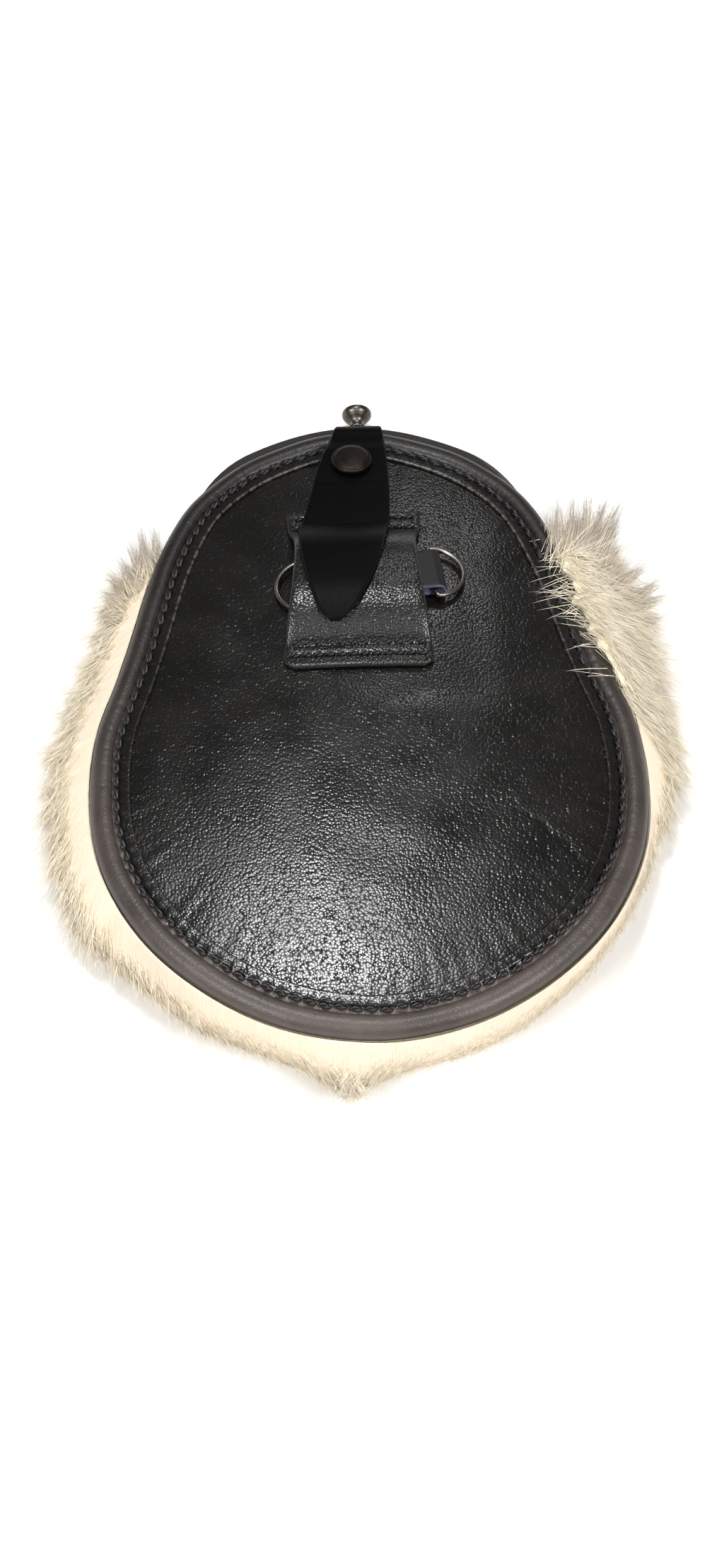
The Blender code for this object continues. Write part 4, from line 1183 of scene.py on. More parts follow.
def make_ring(node, joint_name, name):
    """A wire circle carried round a bar and a bow, in the plane of its bar and its CAD node."""
    joint = next(j for j in frame["joints"] if j["name"] == joint_name)
    bar = np.array(joint["pos_m"]) - HOME
    bar_axis = np.array(joint["axis"]) / np.linalg.norm(joint["axis"])
    corners = frame["nodes"][node].data.vertices
    node_points = np.empty(3 * len(corners))
    corners.foreach_get("co", node_points)
    to_bow = node_points.reshape(-1, 3).mean(axis=0) - HOME - bar
    to_bow -= bar_axis * (to_bow @ bar_axis)
    to_bow /= np.linalg.norm(to_bow)
    up = np.cross(to_bow, bar_axis)
    half = (RING_LENGTH - RING_WIRE) / 2
    turns = np.radians(np.linspace(-BOW_HALF_ANGLE, BOW_HALF_ANGLE, BOW_POINTS))
    bow = [(half * math.cos(t), half * math.sin(t)) for t in turns]
    corner = [(0.12 * RING_CORNER, half - 0.12 * RING_CORNER), (0, half - RING_CORNER)]
    line = np.array(bow + corner + [(a, -b) for a, b in corner[::-1]] + bow[:1])
    run = np.concatenate([[0], np.cumsum(np.hypot(*np.diff(line, axis=0).T))])
    at = np.linspace(0, run[-1], RING_COLUMNS, endpoint=False)
    line = np.stack([np.interp(at, run, column) for column in line.T], axis=-1)
    for _ in range(RING_ROUNDINGS):
        line = (np.roll(line, 1, axis=0) + 2 * line + np.roll(line, -1, axis=0)) / 4
    tangent = np.roll(line, -1, axis=0) - np.roll(line, 1, axis=0)
    tangent /= np.linalg.norm(tangent, axis=1, keepdims=True)
    outward = np.stack([tangent[:, 1], -tangent[:, 0]], axis=-1)
    turn = np.linspace(0, math.tau, RING_SIDES, endpoint=False)
    in_plane = line[:, None, :] + RING_WIRE / 2 * np.cos(turn)[None, :, None] * outward[:, None, :]
    lift = np.broadcast_to(RING_WIRE / 2 * np.sin(turn), in_plane.shape[:2])
    points = bar + in_plane[..., :1] * to_bow + in_plane[..., 1:] * bar_axis + lift[..., None] * up
    return surface(name, points, rows_closed=True, sharp=None)


for side in ("left", "right"):
    ring = make_ring("d_ring_" + side, "ring_%s_swing" % side, "ring_wire_" + side)
    dress(ring, steel_wire, "steel_wire", "d_ring_" + side, body="ring_" + side)

# %% [markdown]
# ## The closure tab and its snap
#
# A tongue of black bridle leather comes out of the mouth, folds over the binding and is held down
# by a snap. Its edges aren't parallel: it widens to a leaf and ends in a blunt point. The leather
# is creased just under the cap, where it is bent each time the snap is pulled open.

# %% Closure tab
TAB_LEATHER = 1.6 * MM
TAB_ROOT = 28 * MM
TAB_SEWN = 14 * MM
TAB_TURN_CLEARANCE = 0.5 * MM
TAB_REST_GAP = 0.6 * MM
TAB_SETTLE_SHARE = 0.11
TAB_STIFFNESS = 0.6
TAB_TIP_Y = 27.5 * MM
TAB_TIP_STANDS = 2.5 * MM
TAB_HALF_WIDTH = 13.2 * MM
TAB_CREASE_BELOW_CAP = 7.2 * MM
TAB_OUTLINE = (
    # of the way from the fold to the tip, left edge and right edge as shares of the widest half
    (0.00, -0.46, 0.62),
    (0.08, -0.62, 0.68),
    (0.20, -0.86, 0.71),
    (0.40, -1.14, 0.72),
    (0.60, -1.38, 0.61),
    (0.70, -1.35, 0.48),
    (0.80, -1.25, 0.30),
    (0.89, -1.11, 0.05),
    (0.96, -0.94, -0.24),
    (1.00, -0.72, -0.52),
)
TAB_CREASE_FROM = 8 * MM
TAB_CREASE_WIDTH = 0.7 * MM
TAB_CREASE_DEPTH = 0.10 * MM
TAB_SOFT_WAVES = 0.04 * MM
CAP_BELOW_EDGE = 17.8 * MM


def tab_inner_z(y):
    """The tab's face towards the back: over the snap's post, then over the belt loop.

    It follows the loop's bulge plus the loop's leather, measured square to its slope. Below the
    crest it is the higher of that and of a stiff line that falls with the square of the way.
    """
    step = 0.5 * MM
    crest = LOOP_TOP - LOOP_LENGTH / 2
    slope = (loop_bulge(y + step) - loop_bulge(y - step)) / (2 * step)
    patch = loop_bulge(y) + LOOP_LEATHER * np.sqrt(1 + slope**2)
    below = np.clip((crest - y) / (crest - TAB_TIP_Y), 0, 1)
    stiff = LOOP_LEATHER + LOOP_BULGE - (LOOP_BULGE - TAB_TIP_STANDS) * TAB_STIFFNESS * below**2
    lift = CLEARANCE + TAB_REST_GAP + np.where(y < crest, np.maximum(patch, stiff), patch)
    return back_z(0 * y, y) + lift


def make_tab():
    """A strip along a line that comes out of the mouth, turns in a half circle round the binding and
    settles onto the belt loop; its two edges follow the table."""
    turn_y = TOP_Y - ROLL_WIDTH / 2
    turn_z = float(back_z(0.0, TOP_Y)) + (ROLL_RISE - ROLL_DROP) / 2
    radius = ROLL_WIDTH / 2 + TAB_TURN_CLEARANCE
    turns = np.radians(np.linspace(-90, 90, 41))
    bend = np.stack([turn_y + radius * np.cos(turns), turn_z + radius * np.sin(turns)], axis=-1)
    root_z = FRONT_Z + CLEARANCE + TAB_LEATHER
    root_y = TOP_Y - TAB_ROOT
    inside = np.array([(root_y, root_z), (root_y + TAB_SEWN, root_z)])
    shares = np.linspace(0, 1, 201)[1:]
    y = turn_y + (TAB_TIP_Y - turn_y) * shares
    settle = ease(1 - shares / TAB_SETTLE_SHARE)
    z = tab_inner_z(y)
    z = z + (turn_z + radius - z) * settle
    path = np.concatenate([inside, bend, np.stack([y, z], axis=-1)])
    share = (TOP_Y - path[:, 0]) / (TOP_Y - TAB_TIP_Y)
    down, left, right = np.array(TAB_OUTLINE).T
    left = TAB_HALF_WIDTH * smooth(down, left, share)
    right = TAB_HALF_WIDTH * smooth(down, right, share)
    outermost = np.argmax(path[:, 0])
    left[:outermost] = left[outermost]
    right[:outermost] = right[outermost]
    crease_y = TOP_Y - CAP_BELOW_EDGE - TAB_CREASE_BELOW_CAP

    def place(along, across, height):
        upper = height > FRONT_Z + TAB_CREASE_FROM
        crease = np.exp(-(((along - crease_y - 0.04 * across) / TAB_CREASE_WIDTH) ** 2)) * upper
        soft = waves(along + 0.3 * across, (17 * MM, 29 * MM), seed=41) * upper
        rise = height - TAB_CREASE_DEPTH * crease + TAB_SOFT_WAVES * soft
        return np.stack([across, along, rise], axis=-1)

    return leather_strip("closure_tab_leather", path, left, right, TAB_LEATHER, place, flats=20)


tab = dress(make_tab(), bridle, "tab_leather", "closure_tab")
print("closure tab faces:", len(tab.data.polygons))

# %% Snap
CAP_DIAMETER = 12.2 * MM
CAP_HEIGHT = 3.5 * MM
# The cap's section in shares of its radius and height: middle and reach of the rim, foot and rise
CAP_RIM_TURNS = (-70, 130)
CAP_RIM = (0.91, 0.09)
CAP_RIM_RISE = (0.34, 0.26)
CAP_DOME_FROM = 0.86
CAP_DOME_RISE = (0.62, 0.22)
CAP_X = -1.6 * MM


def make_cap():
    """A rolled rim, which is an arc, and a low dome of height (1 - r²)^0.6, turned round the post."""
    y = np.array(TOP_Y - CAP_BELOW_EDGE)
    slope = (tab_inner_z(y + MM) - tab_inner_z(y - MM)) / (2 * MM)
    base = (CAP_X, y, tab_inner_z(y) + TAB_LEATHER + 2 * CLEARANCE)
    radius = CAP_DIAMETER / 2
    rim = np.radians(np.linspace(*CAP_RIM_TURNS, 15))
    out, wide = CAP_RIM
    up, high = CAP_RIM_RISE
    rolled = [(out + wide * math.cos(t), up + high * math.sin(t)) for t in rim]
    foot, crown = CAP_DOME_RISE
    dome = [(r, foot + crown * (1 - (r / CAP_DOME_FROM) ** 2) ** 0.6) for r in np.linspace(0.84, 0, 16)]
    profile = [(0, 0), (0.88, 0), *rolled, *dome]
    scaled = [(r * radius, h * CAP_HEIGHT) for r, h in profile]
    return turned("snap_cap_dome", scaled, base, (0, -slope, 1), sharp=None)


cap = dress(make_cap(), gunmetal, "gunmetal", "snap_cap")
post = frame["nodes"]["snap_stud"]
post.data.materials.clear()
post.data.materials.append(brass)
print("snap cap faces:", len(cap.data.polygons))

# %% [markdown]
# ## The cantle and its knob
#
# The cantle is the metal plate that crowns the front of the pouch. From behind only its edge shows,
# as a bright line past the binding, and its knob stands up in the middle. Both are simple forms:
# the plate is a crowned section carried along the top of the outline, and the knob is turned.

# %% Cantle
FRONT_INSET = 2 * MM
FRONT_RISE = 11.7 * MM
FRONT_RISE_HALF_ANGLE = 42.0
FRONT_RISE_STEEPNESS = 1.6
CANTLE_RIM = 1.5 * MM
CANTLE_EDGE = 2.2 * MM
CANTLE_CREST = 3.6 * MM
CANTLE_MIDDLE_WIDTH = 44 * MM
CANTLE_END_WIDTH = 12 * MM
CANTLE_END_ANGLE = 53.5
CANTLE_END_RUN = 4.0
CANTLE_SHIFT = 1.2 * MM
CANTLE_CORNER = 0.018
CANTLE_BORDERS = (0.07, 0.93)
CANTLE_BORDER_WIDTH = 0.025
CANTLE_BORDER_HEIGHT = 0.35 * MM
CANTLE_BACK_Z = FRONT_Z - FRONT_THICKNESS - CLEARANCE


def front_outward(angle):
    """How far the front's edge stands outside of the back's: it rises towards the mouth."""
    rise = FRONT_RISE_STEEPNESS * (1 - from_top(angle) / FRONT_RISE_HALF_ANGLE)
    return -FRONT_INSET + FRONT_RISE * ease(rise)


def cantle_width(angle):
    """Widest under the mouth's middle, easing down to the width of its ends."""
    middle = ease(1 - from_top(angle) / (90 - CANTLE_END_ANGLE + CANTLE_END_RUN))
    return CANTLE_END_WIDTH + (CANTLE_MIDDLE_WIDTH - CANTLE_END_WIDTH) * middle


def make_cantle():
    """Depth below its back: edge + crest x sin(across)^0.8, with a raised border at both edges."""
    angles = np.linspace(CANTLE_END_ANGLE, 180 - CANTLE_END_ANGLE, 200)
    t = np.linspace(0, 1, 41)
    corner = CANTLE_CORNER
    face = corner + (1 - 2 * corner) * t
    border = sum(np.exp(-(((face - line) / CANTLE_BORDER_WIDTH) ** 2)) for line in CANTLE_BORDERS)
    depth = CANTLE_EDGE + CANTLE_CREST * np.sin(np.pi * face) ** 0.8 + CANTLE_BORDER_HEIGHT * border
    wall = [0, CANTLE_EDGE * 0.12, CANTLE_EDGE * 0.8]
    across = np.concatenate([[corner, 0.0, 0.0], face, [1.0, 1.0, 1 - corner]])
    down = np.concatenate([wall, depth, wall[::-1]])
    outer = front_outward(angles) + CANTLE_RIM
    outward = outer[:, None] - cantle_width(angles)[:, None] * across
    x, y = edge(angles[:, None], outward)
    z = np.broadcast_to(CANTLE_BACK_Z - down, x.shape)
    return surface("cantle_plate", np.stack([x + CANTLE_SHIFT, y, z], axis=-1), sharp=35)


cantle = dress(make_cantle(), nickel, "nickel_silver", "cantle")
print("cantle faces:", len(cantle.data.polygons))


# %% Knob
def make_knob():
    """Its radius is a smooth curve through a table of shares, turned round the knob's own line."""
    low, high = (np.array(corner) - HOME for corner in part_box("cantle_knob"))
    length = high[1] - low[1]
    radius = (high[0] - low[0]) / 2
    base = ((low[0] + high[0]) / 2, low[1], (low[2] + high[2]) / 2)
    knots = (
        # of length, of radius
        (0.00, 0.60),
        (0.06, 0.63),
        (0.11, 0.58),
        (0.17, 0.44),
        (0.27, 0.40),
        (0.38, 0.47),
        (0.55, 0.76),
        (0.68, 0.95),
        (0.76, 1.00),
        (0.83, 1.00),
        (0.89, 0.94),
        (0.92, 0.84),
        (0.94, 0.80),
        (0.97, 0.55),
        (0.99, 0.30),
        (1.00, 0.00),
    )
    height, wide = np.array(knots).T
    at = np.linspace(0, 1, 60)
    profile = np.stack([np.clip(smooth(height, wide, at), 0, 1) * radius, at * length], axis=-1)
    profile = np.concatenate([[(0, 0)], profile[:-1], [(0, length)]])
    return turned("cantle_knob_turned", profile, base, (0, 1, 0), sharp=None)


knob = dress(make_knob(), pewter, "pewter", "cantle_knob")
print("knob faces:", len(knob.data.polygons))

# %% [markdown]
# ## Gusset and front
#
# A wall of plain leather runs round the sides and the bottom, between the back and the front that
# carries the fur. It shows only from the side near the mouth, where it is slightly bellied and
# rumpled. The front is a flat piece, which can be seen through the open mouth.

# %% Gusset and front
GUSSET_THICKNESS = 1.5 * MM
GUSSET_INSET = 4.4 * MM
GUSSET_BULGE = 1.8 * MM
GUSSET_END_ANGLE = 52.0
GUSSET_FOLDS = 0.25 * MM


def make_gusset():
    """A wall that bellies out as (bulge x room² + folds) x sin(height), with an inner face behind it."""
    angles = np.linspace(-180 - GUSSET_END_ANGLE, GUSSET_END_ANGLE, 260)
    levels = np.linspace(0, 1, 22)
    room = inside_height(edge(angles, 0)[1]) / INSIDE_DEPTH
    folds = GUSSET_FOLDS * waves(angles * 1.4 * MM, (14 * MM, 9 * MM, 5.5 * MM), seed=51)
    bulge = (GUSSET_BULGE * room**2 + folds)[:, None] * np.sin(np.pi * levels)

    def wall(inset, back_to_front):
        outward = -GUSSET_INSET - inset + bulge[:, ::back_to_front]
        x, y = edge(angles[:, None], outward)
        low = FRONT_Z + CLEARANCE
        high = back_z(x, y) - BACK_THICKNESS - 2 * CLEARANCE
        return np.stack([x, y, low + (high - low) * levels[::back_to_front]], axis=-1)

    points = np.concatenate([wall(0, 1), wall(GUSSET_THICKNESS, -1)], axis=1)
    return surface("gusset_leather", points)


def front_places(angles, shares):
    """Places at shares of the way from the middle to the front's own edge."""
    x, y = edge(angles, front_outward(angles))
    return shares[None, :] * x[:, None], shares[None, :] * y[:, None]


dress(make_gusset(), plain_hide, "gusset_leather", "gusset")
front_leather = polar_sheet(
    "front_leather",
    np.arange(240) * 1.5,
    np.linspace(0, 1, 24),
    front_places,
    lambda x, y: 0 * x + FRONT_Z,
    lambda x, y: 0 * x + FRONT_Z - FRONT_THICKNESS,
)
dress(front_leather, plain_hide, "front_leather", "front_panel")
print("gusset and front are on")

# %% [markdown]
# ## Fur: the undercoat
#
# Deep fur is two things: a dense undercoat that hides the skin, and long guard hairs that break up
# the outline. A particle system could grow it, but single hairs made as meshes keep their shape in
# every program. The undercoat is made first, as one closed body of locks: a section for each angle
# round the pouch, from the hide up beside the binding, out over the locks and back underneath. On
# the right the fur has been pushed up and lies over the binding, so there the section climbs round
# the roll. The UV map says where each hair would lie, so that the coat's streaks follow the hair.

# %% Undercoat
FUR_PRESSED = 6.7 * MM
FUR_LENGTH = 18 * MM
FUR_LOCKS = 48
FUR_TIP_HEIGHT = 12 * MM
FUR_TIP_DROOP = 0.2
FUR_WALL_INSET = 1.5 * MM
FUR_ENDS_PROUD = 2 * MM
FUR_WALL_ENDS = 42.5
FUR_WALL_GONE = 47.5
FUR_UNDER_CANTLE = 52.5
CANTLE_FUR_GAP = 2 * MM
UNDERCOAT_SHARE = 0.70
FUR_REACH = (
    # angle round the pouch in degrees, share of the fur's length
    (-166, 1.00),
    (-155, 0.88),
    (-146, 0.82),
    (-135, 0.42),
    (-120, 0.28),
    (-102, 0.18),
    (-97.5, 0.34),
    (-94.5, 0.52),
    (-91.5, 0.32),
    (-87, 0.12),
    (-72, 0.02),
    (-50, 0.02),
    (-35, 0.12),
    (-20, 0.40),
    (-8, 0.86),
    (10, 1.15),
    (28, 1.40),
    (46, 1.10),
    (90, 0.80),
    (134, 0.95),
    (150, 0.95),
    (162, 1.00),
    (178, 1.08),
)
FUR_EDGE_SECTION = (
    # outward and height, of the pressed hide
    (-0.150, 0.955),
    (-0.075, 0.940),
    (-0.030, 0.880),
    (0.000, 0.776),
    (0.015, 0.642),
    (0.030, 0.507),
    (0.030, 0.373),
    (-0.030, 0.164),
    (-0.360, 0.000),
)
FUR_OUTER_ROWS = (
    # outward in mm where the fur is full, inward in mm where it is short, of the reach, of tip height
    (2.0, 0.0, 0.80, 1.00),
    (1.2, 2.5, 0.74, 0.55),
    (0.3, 7.0, 0.40, 0.20),
    (-5.0, 11.0, 0.00, 0.00),
)
FUR_SHOULDER = (1.6 * MM, 0.42, 0.45)
OVERLAP_ANGLES = (-6, 26, 43, 52)
OVERLAP_LIFT = 3 * MM
OVERLAP_SHOULDER_LIFT = 2.4 * MM
WRAP_STARTS = -62
WRAP_REACHES = 142
WRAP_VARIES = 14
WRAP_ROWS = 6
WRAP_INNER = (-74, 0.55 * MM, 0.15 * MM)
WRAP_OUTER = (-14, 1.0 * MM, 3.0 * MM)
COAT_COLUMNS = 46
COAT_ANGLES = 540
COAT_WIDTH = 42 * MM
LIE_SLANT = 1.2


def overlap(angle):
    """1 where the fur lies over the binding, falling to 0 on either side."""
    start, full, still, end = OVERLAP_ANGLES
    angle = (angle + 180) % 360 - 180
    return ease((angle - start) / (full - start)) * ease((end - angle) / (end - still))


print("the fur is longest at", max(FUR_REACH, key=lambda row: row[1])[0], "degrees round the pouch")


# %% The coat's section
def coat_section(angles, reach):
    """Outward place and height from the hide's inner face over the locks to the underside.

    The rows go up the wall, round the binding's roll and back, and out over the locks. Towards the
    mouth they ease into the low edge of the pressed hide.
    """
    over = overlap(angles)
    full = ease(reach / (0.5 * FUR_LENGTH))
    wall_top = back_z(*edge(angles, -FUR_WALL_INSET)) - ROLL_DROP - 2 * CLEARANCE
    tip = FUR_TIP_HEIGHT * (1 - FUR_TIP_DROOP * (1 - reach / FUR_LENGTH)) + OVERLAP_LIFT * over
    level = np.ones_like(angles)
    rows = [
        (-1.07 * FUR_WALL_INSET * level, FUR_PRESSED * level),
        (-FUR_WALL_INSET * level, 1.09 * FUR_PRESSED * level),
        (-FUR_WALL_INSET * level, 0.5 * (FUR_PRESSED + wall_top)),
        (-FUR_WALL_INSET * level, wall_top),
    ]
    roll_out = -ROLL_WIDTH / 2
    roll_up = back_z(*edge(angles, roll_out)) + (ROLL_RISE - ROLL_DROP) / 2
    half_width = ROLL_WIDTH / 2
    half_height = (ROLL_RISE + ROLL_DROP) / 2
    uneven = WRAP_VARIES * waves(angles, (7.3, 4.1, 11.7), seed=62)
    end_turn = np.radians(WRAP_STARTS + (WRAP_REACHES + uneven) * over)
    wrap = np.linspace(0, 1, WRAP_ROWS)
    start, gap, thicker = WRAP_INNER
    inner = [(math.radians(start) * (1 - s) + end_turn * s, gap + thicker * over) for s in wrap]
    end, gap, thicker = WRAP_OUTER
    outer = [
        (end_turn * (1 - s) + math.radians(end) * s, gap + thicker * over * math.sin(0.3 + 1.3 * s))
        for s in wrap
    ]
    for turn, gap in inner + outer:
        across = roll_out + (half_width + gap) * np.cos(turn)
        rows.append((across, roll_up + (half_height + gap) * np.sin(turn)))
    shoulder, of_reach, of_way = FUR_SHOULDER
    shoulder_height = wall_top + of_way * (tip - wall_top) + OVERLAP_SHOULDER_LIFT * over
    rows.append((shoulder * full + of_reach * reach, shoulder_height))
    for outward, inward, of_reach, of_tip in FUR_OUTER_ROWS:
        across = outward * MM * full - inward * MM * (1 - full) + of_reach * reach
        rows.append((across, of_tip * tip))
    wall = np.array(rows).transpose(2, 0, 1)
    raised = 90 - from_top(angles)
    lowered = np.clip((raised - FUR_WALL_ENDS) / (FUR_WALL_GONE - FUR_WALL_ENDS), 0, 1)
    drawn_in = np.clip((raised - FUR_WALL_GONE) / (FUR_UNDER_CANTLE - FUR_WALL_GONE), 0, 1)
    under_cantle = front_outward(angles) + CANTLE_RIM - cantle_width(angles) - CANTLE_FUR_GAP
    outward = FUR_ENDS_PROUD + (under_cantle - FUR_ENDS_PROUD) * drawn_in
    at = np.linspace(0, len(FUR_EDGE_SECTION) - 1, wall.shape[1])
    low_edge = smooth(np.arange(len(FUR_EDGE_SECTION)), FUR_PRESSED * np.array(FUR_EDGE_SECTION), at)
    flat = np.repeat(low_edge[None], len(angles), axis=0)
    flat[..., 0] += outward[:, None]
    return wall + (flat - wall) * ease(lowered)[:, None, None]


COAT_TURNS = 90 + np.arange(COAT_ANGLES) * 360 / COAT_ANGLES
print("the coat has a section every %.2f degrees" % (COAT_TURNS[1] - COAT_TURNS[0]))

# %% The coat's grid and its look
# Streaks of about 0.6 mm are drawn, coarser than the real underhair, which is too fine to show
COAT_TILE = 10 * MM
COAT_STREAKS = (16.0, 7.0, 1.0)
COAT_RELIEF = 0.5 * MM
LOCK_SWELL = 0.07
LOCK_COUNTS = (FUR_LOCKS, 31, 67, 113)


def make_undercoat():
    """The coat's grid of points, and that grid closed above and below with its UV map."""
    table_angles, shares = np.array(FUR_REACH, float).T
    reach = UNDERCOAT_SHARE * FUR_LENGTH * smooth_round(table_angles, shares, COAT_TURNS)
    locks = LOCK_SWELL * waves(COAT_TURNS, [360 / count for count in LOCK_COUNTS], seed=61)
    section = coat_section(COAT_TURNS, reach * (1 + locks))
    knots = np.arange(section.shape[1])
    at = np.linspace(0, knots[-1], COAT_COLUMNS)
    fine = smooth(knots, section.transpose(1, 0, 2).reshape(len(knots), -1), at)
    fine = fine.reshape(COAT_COLUMNS, COAT_ANGLES, 2).transpose(1, 0, 2)
    x, y = edge(COAT_TURNS[:, None], fine[..., 0])
    grid = np.stack([x, y, np.maximum(fine[..., 1], 0)], axis=-1)
    hide = np.array((0, 0, FUR_PRESSED))
    top = grid[:, :1] * (0.5, 0.5, 0)
    low = grid[:, -1:] * (0.5, 0.5, 0)
    closed = np.concatenate([0 * top + hide, top + hide, grid, low, 0 * low], axis=1)
    out = np.concatenate([[0, 0], np.linspace(0, 1, COAT_COLUMNS), [1, 1]])
    slant = LIE_SLANT * np.cos(np.radians(COAT_TURNS))[:, None] * out * COAT_WIDTH
    across = np.radians(COAT_TURNS)[:, None] * BACK_HEIGHT / 2 + slant
    uv = np.stack([across / COAT_TILE, np.broadcast_to(out, across.shape)], axis=-1)
    return grid, closed, uv


# Cream rabbit: matte and warm beside the binding, pinkish further out, finely streaked, with painted shade
# that darkens the grooves of the streaks
undercoat_fur, coat_tree, coat_shader = new_material(
    "cream_rabbit_undercoat", "#FFF3D4", 0.95, Sheen_Weight=0.25, Specular_IOR_Level=0.1
)
coat_uv = add(coat_tree, "UVMap").outputs[0]
coat_streak_place = add(coat_tree, "Mapping", {"Vector": coat_uv, "Scale": COAT_STREAKS}).outputs[0]
coat_streaks = add(coat_tree, "TexNoise", {"Vector": coat_streak_place, "Scale": 1.0, "Detail": 3.0})
coat_out = add(coat_tree, "SeparateXYZ", {0: coat_uv}).outputs["Y"]
coat_pale = add(coat_tree, "MapRange", {0: coat_out, 1: 0.5, 2: 0.85, 3: 0.0, 4: 1.0})
coat_body = {0: coat_pale.outputs[0], 6: colour("#FFF5D8"), 7: colour("#F3E2CC")}
# Painted shade: the coat turns darker where the streaks' bump is low
coat_groove_shade = add(coat_tree, "MapRange", {0: coat_streaks.outputs["Fac"], 1: 0.35, 2: 0.7, 3: 0.35, 4: 0.0})
coat_shade = {
    0: coat_groove_shade.outputs[0],
    6: add(coat_tree, "Mix", coat_body, data_type="RGBA").outputs[2],
    7: colour("#E2CFB4"),
}
coat_tree.links.new(
    add(coat_tree, "Mix", coat_shade, data_type="RGBA").outputs[2], coat_shader.inputs["Base Color"]
)
coat_bump = add(coat_tree, "Bump", {"Height": coat_streaks.outputs["Fac"], "Distance": COAT_RELIEF})
coat_tree.links.new(coat_bump.outputs[0], coat_shader.inputs["Normal"])

coat, coat_points, coat_map = make_undercoat()
coat_faces = grid_faces(*coat_points.shape[:2], True, False)
undercoat = piece_from("fur_undercoat", coat_points, coat_faces, coat_map, sharp=None)
dress(undercoat, undercoat_fur, "cream_fur", "fur")
print("undercoat faces:", len(undercoat.data.polygons))

# %% [markdown]
# ## Fur: the guard hairs
#
# Each hair is a thin closed spike of three sides that leaves the undercoat, bends with the lie of
# the fur and ends in a point. Roots are drawn at random over the coat, in proportion to its area.
# Rabbit fur lies close and is combed by wear: at the sides it runs down towards the bottom of the
# pouch, and at the bottom it runs outward. Hairs come in small clumps that lean to a shared tip,
# which is what makes fur look like locks and not like a brush.

# %% Guard hairs
HAIR_WIDTH = 0.21 * MM
HAIRS_A_PIECE = 17600
HAIR_PIECES = 3
CLUMP_HAIRS = 4
HAIR_LENGTH = 2.2 * MM
HAIR_LENGTH_IN_FULL_FUR = 5.0 * MM
STRAY_SHARE = 0.10
STRAY_LIFT = 0.35
STRAY_LONGER = 0.9
CLUMP_SPREAD = 1.9 * MM
CLUMP_PULL = 0.45
ROOT_DEPTH = 0.3 * MM
GROUND_GAP = 0.35 * MM


def grow(name, root, direction, bend, length, width, grey, rings=2):
    """Spikes of three sides: root + length (direction t + bend t²), thinning to a point."""
    count = len(root)
    t = np.linspace(0, 1, rings + 1) ** 0.9
    middle = root[:, None] + length[:, None, None] * (
        direction[:, None] * t[None, :, None] + bend[:, None] * (t**2)[None, :, None]
    )
    middle[..., 2] = np.maximum(middle[..., 2], GROUND_GAP)
    ahead = direction[:, None] + 2 * bend[:, None] * t[None, :, None]
    ahead /= np.linalg.norm(ahead, axis=2, keepdims=True)
    side = np.cross(ahead, (0.31, 0.17, 0.93))
    side /= np.linalg.norm(side, axis=2, keepdims=True) + 1e-9
    other = np.cross(ahead, side)
    thick = width[:, None] / 2 * np.sqrt(1 - t)
    corner = np.radians([90, 210, 330])[:, None]
    spokes = side[:, :, None] * np.cos(corner) + other[:, :, None] * np.sin(corner)
    rounds = middle[:, :rings, None] + thick[:, :rings, None, None] * spokes[:, :rings]
    points = np.concatenate([rounds.reshape(count, -1, 3), middle[:, -1:]], axis=1)
    faces = [(2, 1, 0)]
    for ring in range(rings - 1):
        for k in range(3):
            a = 3 * ring + k
            b = 3 * ring + (k + 1) % 3
            faces += [(a, b, b + 3), (a, b + 3, a + 3)]
    last = 3 * (rings - 1)
    faces += [(last + k, last + (k + 1) % 3, last + 3) for k in range(3)]
    per_hair = 3 * rings + 1
    faces = np.array(faces)[None] + (np.arange(count) * per_hair)[:, None, None]
    along = np.concatenate([np.repeat(t[:rings], 3), [1.0]])
    uv = np.stack([np.repeat(grey[:, None], per_hair, axis=1), np.tile(along, (count, 1))], axis=-1)
    return piece_from(name, points, faces.reshape(-1, 3), uv, merge=False, sharp=None)


print("guard hairs to grow:", HAIRS_A_PIECE * HAIR_PIECES)

# %% [markdown]
# ## The look of a single hair
#
# A guard hair is ivory and has a soft gloss. Blender has a shader for hair, but it is meant for hair
# curves, and these hairs are meshes. A plain shader with some sheen serves at this size. The UV map
# holds two numbers for each hair: how grey it is, and how far along the hair a place lies.

# %% The guard hair's look
# Guard hair: ivory at the root, a warm grey where the tips stand out, with a soft gloss
guard_hair, hair_tree, hair_shader = new_material(
    "ivory_guard_hair", "#F8EFD9", 0.6, IOR=1.55, Specular_IOR_Level=0.25, Sheen_Weight=0.2
)
hair_split = add(hair_tree, "SeparateXYZ", {0: add(hair_tree, "UVMap").outputs[0]})
hair_ends = {0: hair_split.outputs["Y"], 6: colour("#FFF4D8"), 7: colour("#FFF6E6")}
hair_grey = add(
    hair_tree, "Math", {0: hair_split.outputs["X"], 1: hair_split.outputs["Y"]}, operation="MULTIPLY"
)
hair_tones = {
    0: hair_grey.outputs[0],
    6: add(hair_tree, "Mix", hair_ends, data_type="RGBA").outputs[2],
    7: colour("#A2917F"),
}
hair_tree.links.new(
    add(hair_tree, "Mix", hair_tones, data_type="RGBA").outputs[2], hair_shader.inputs["Base Color"]
)
print("hair material:", guard_hair.name)


# %% [markdown]
# ## Rooting the hairs
#
# A root is a cell of the coat's grid, drawn with a chance that goes with the cell's area, so that
# the hair is as dense on a wide stretch of the coat as on a narrow one. Fewer are drawn underneath,
# where no one sees them. The hairs are made in three pieces, so that none of them grows too large.

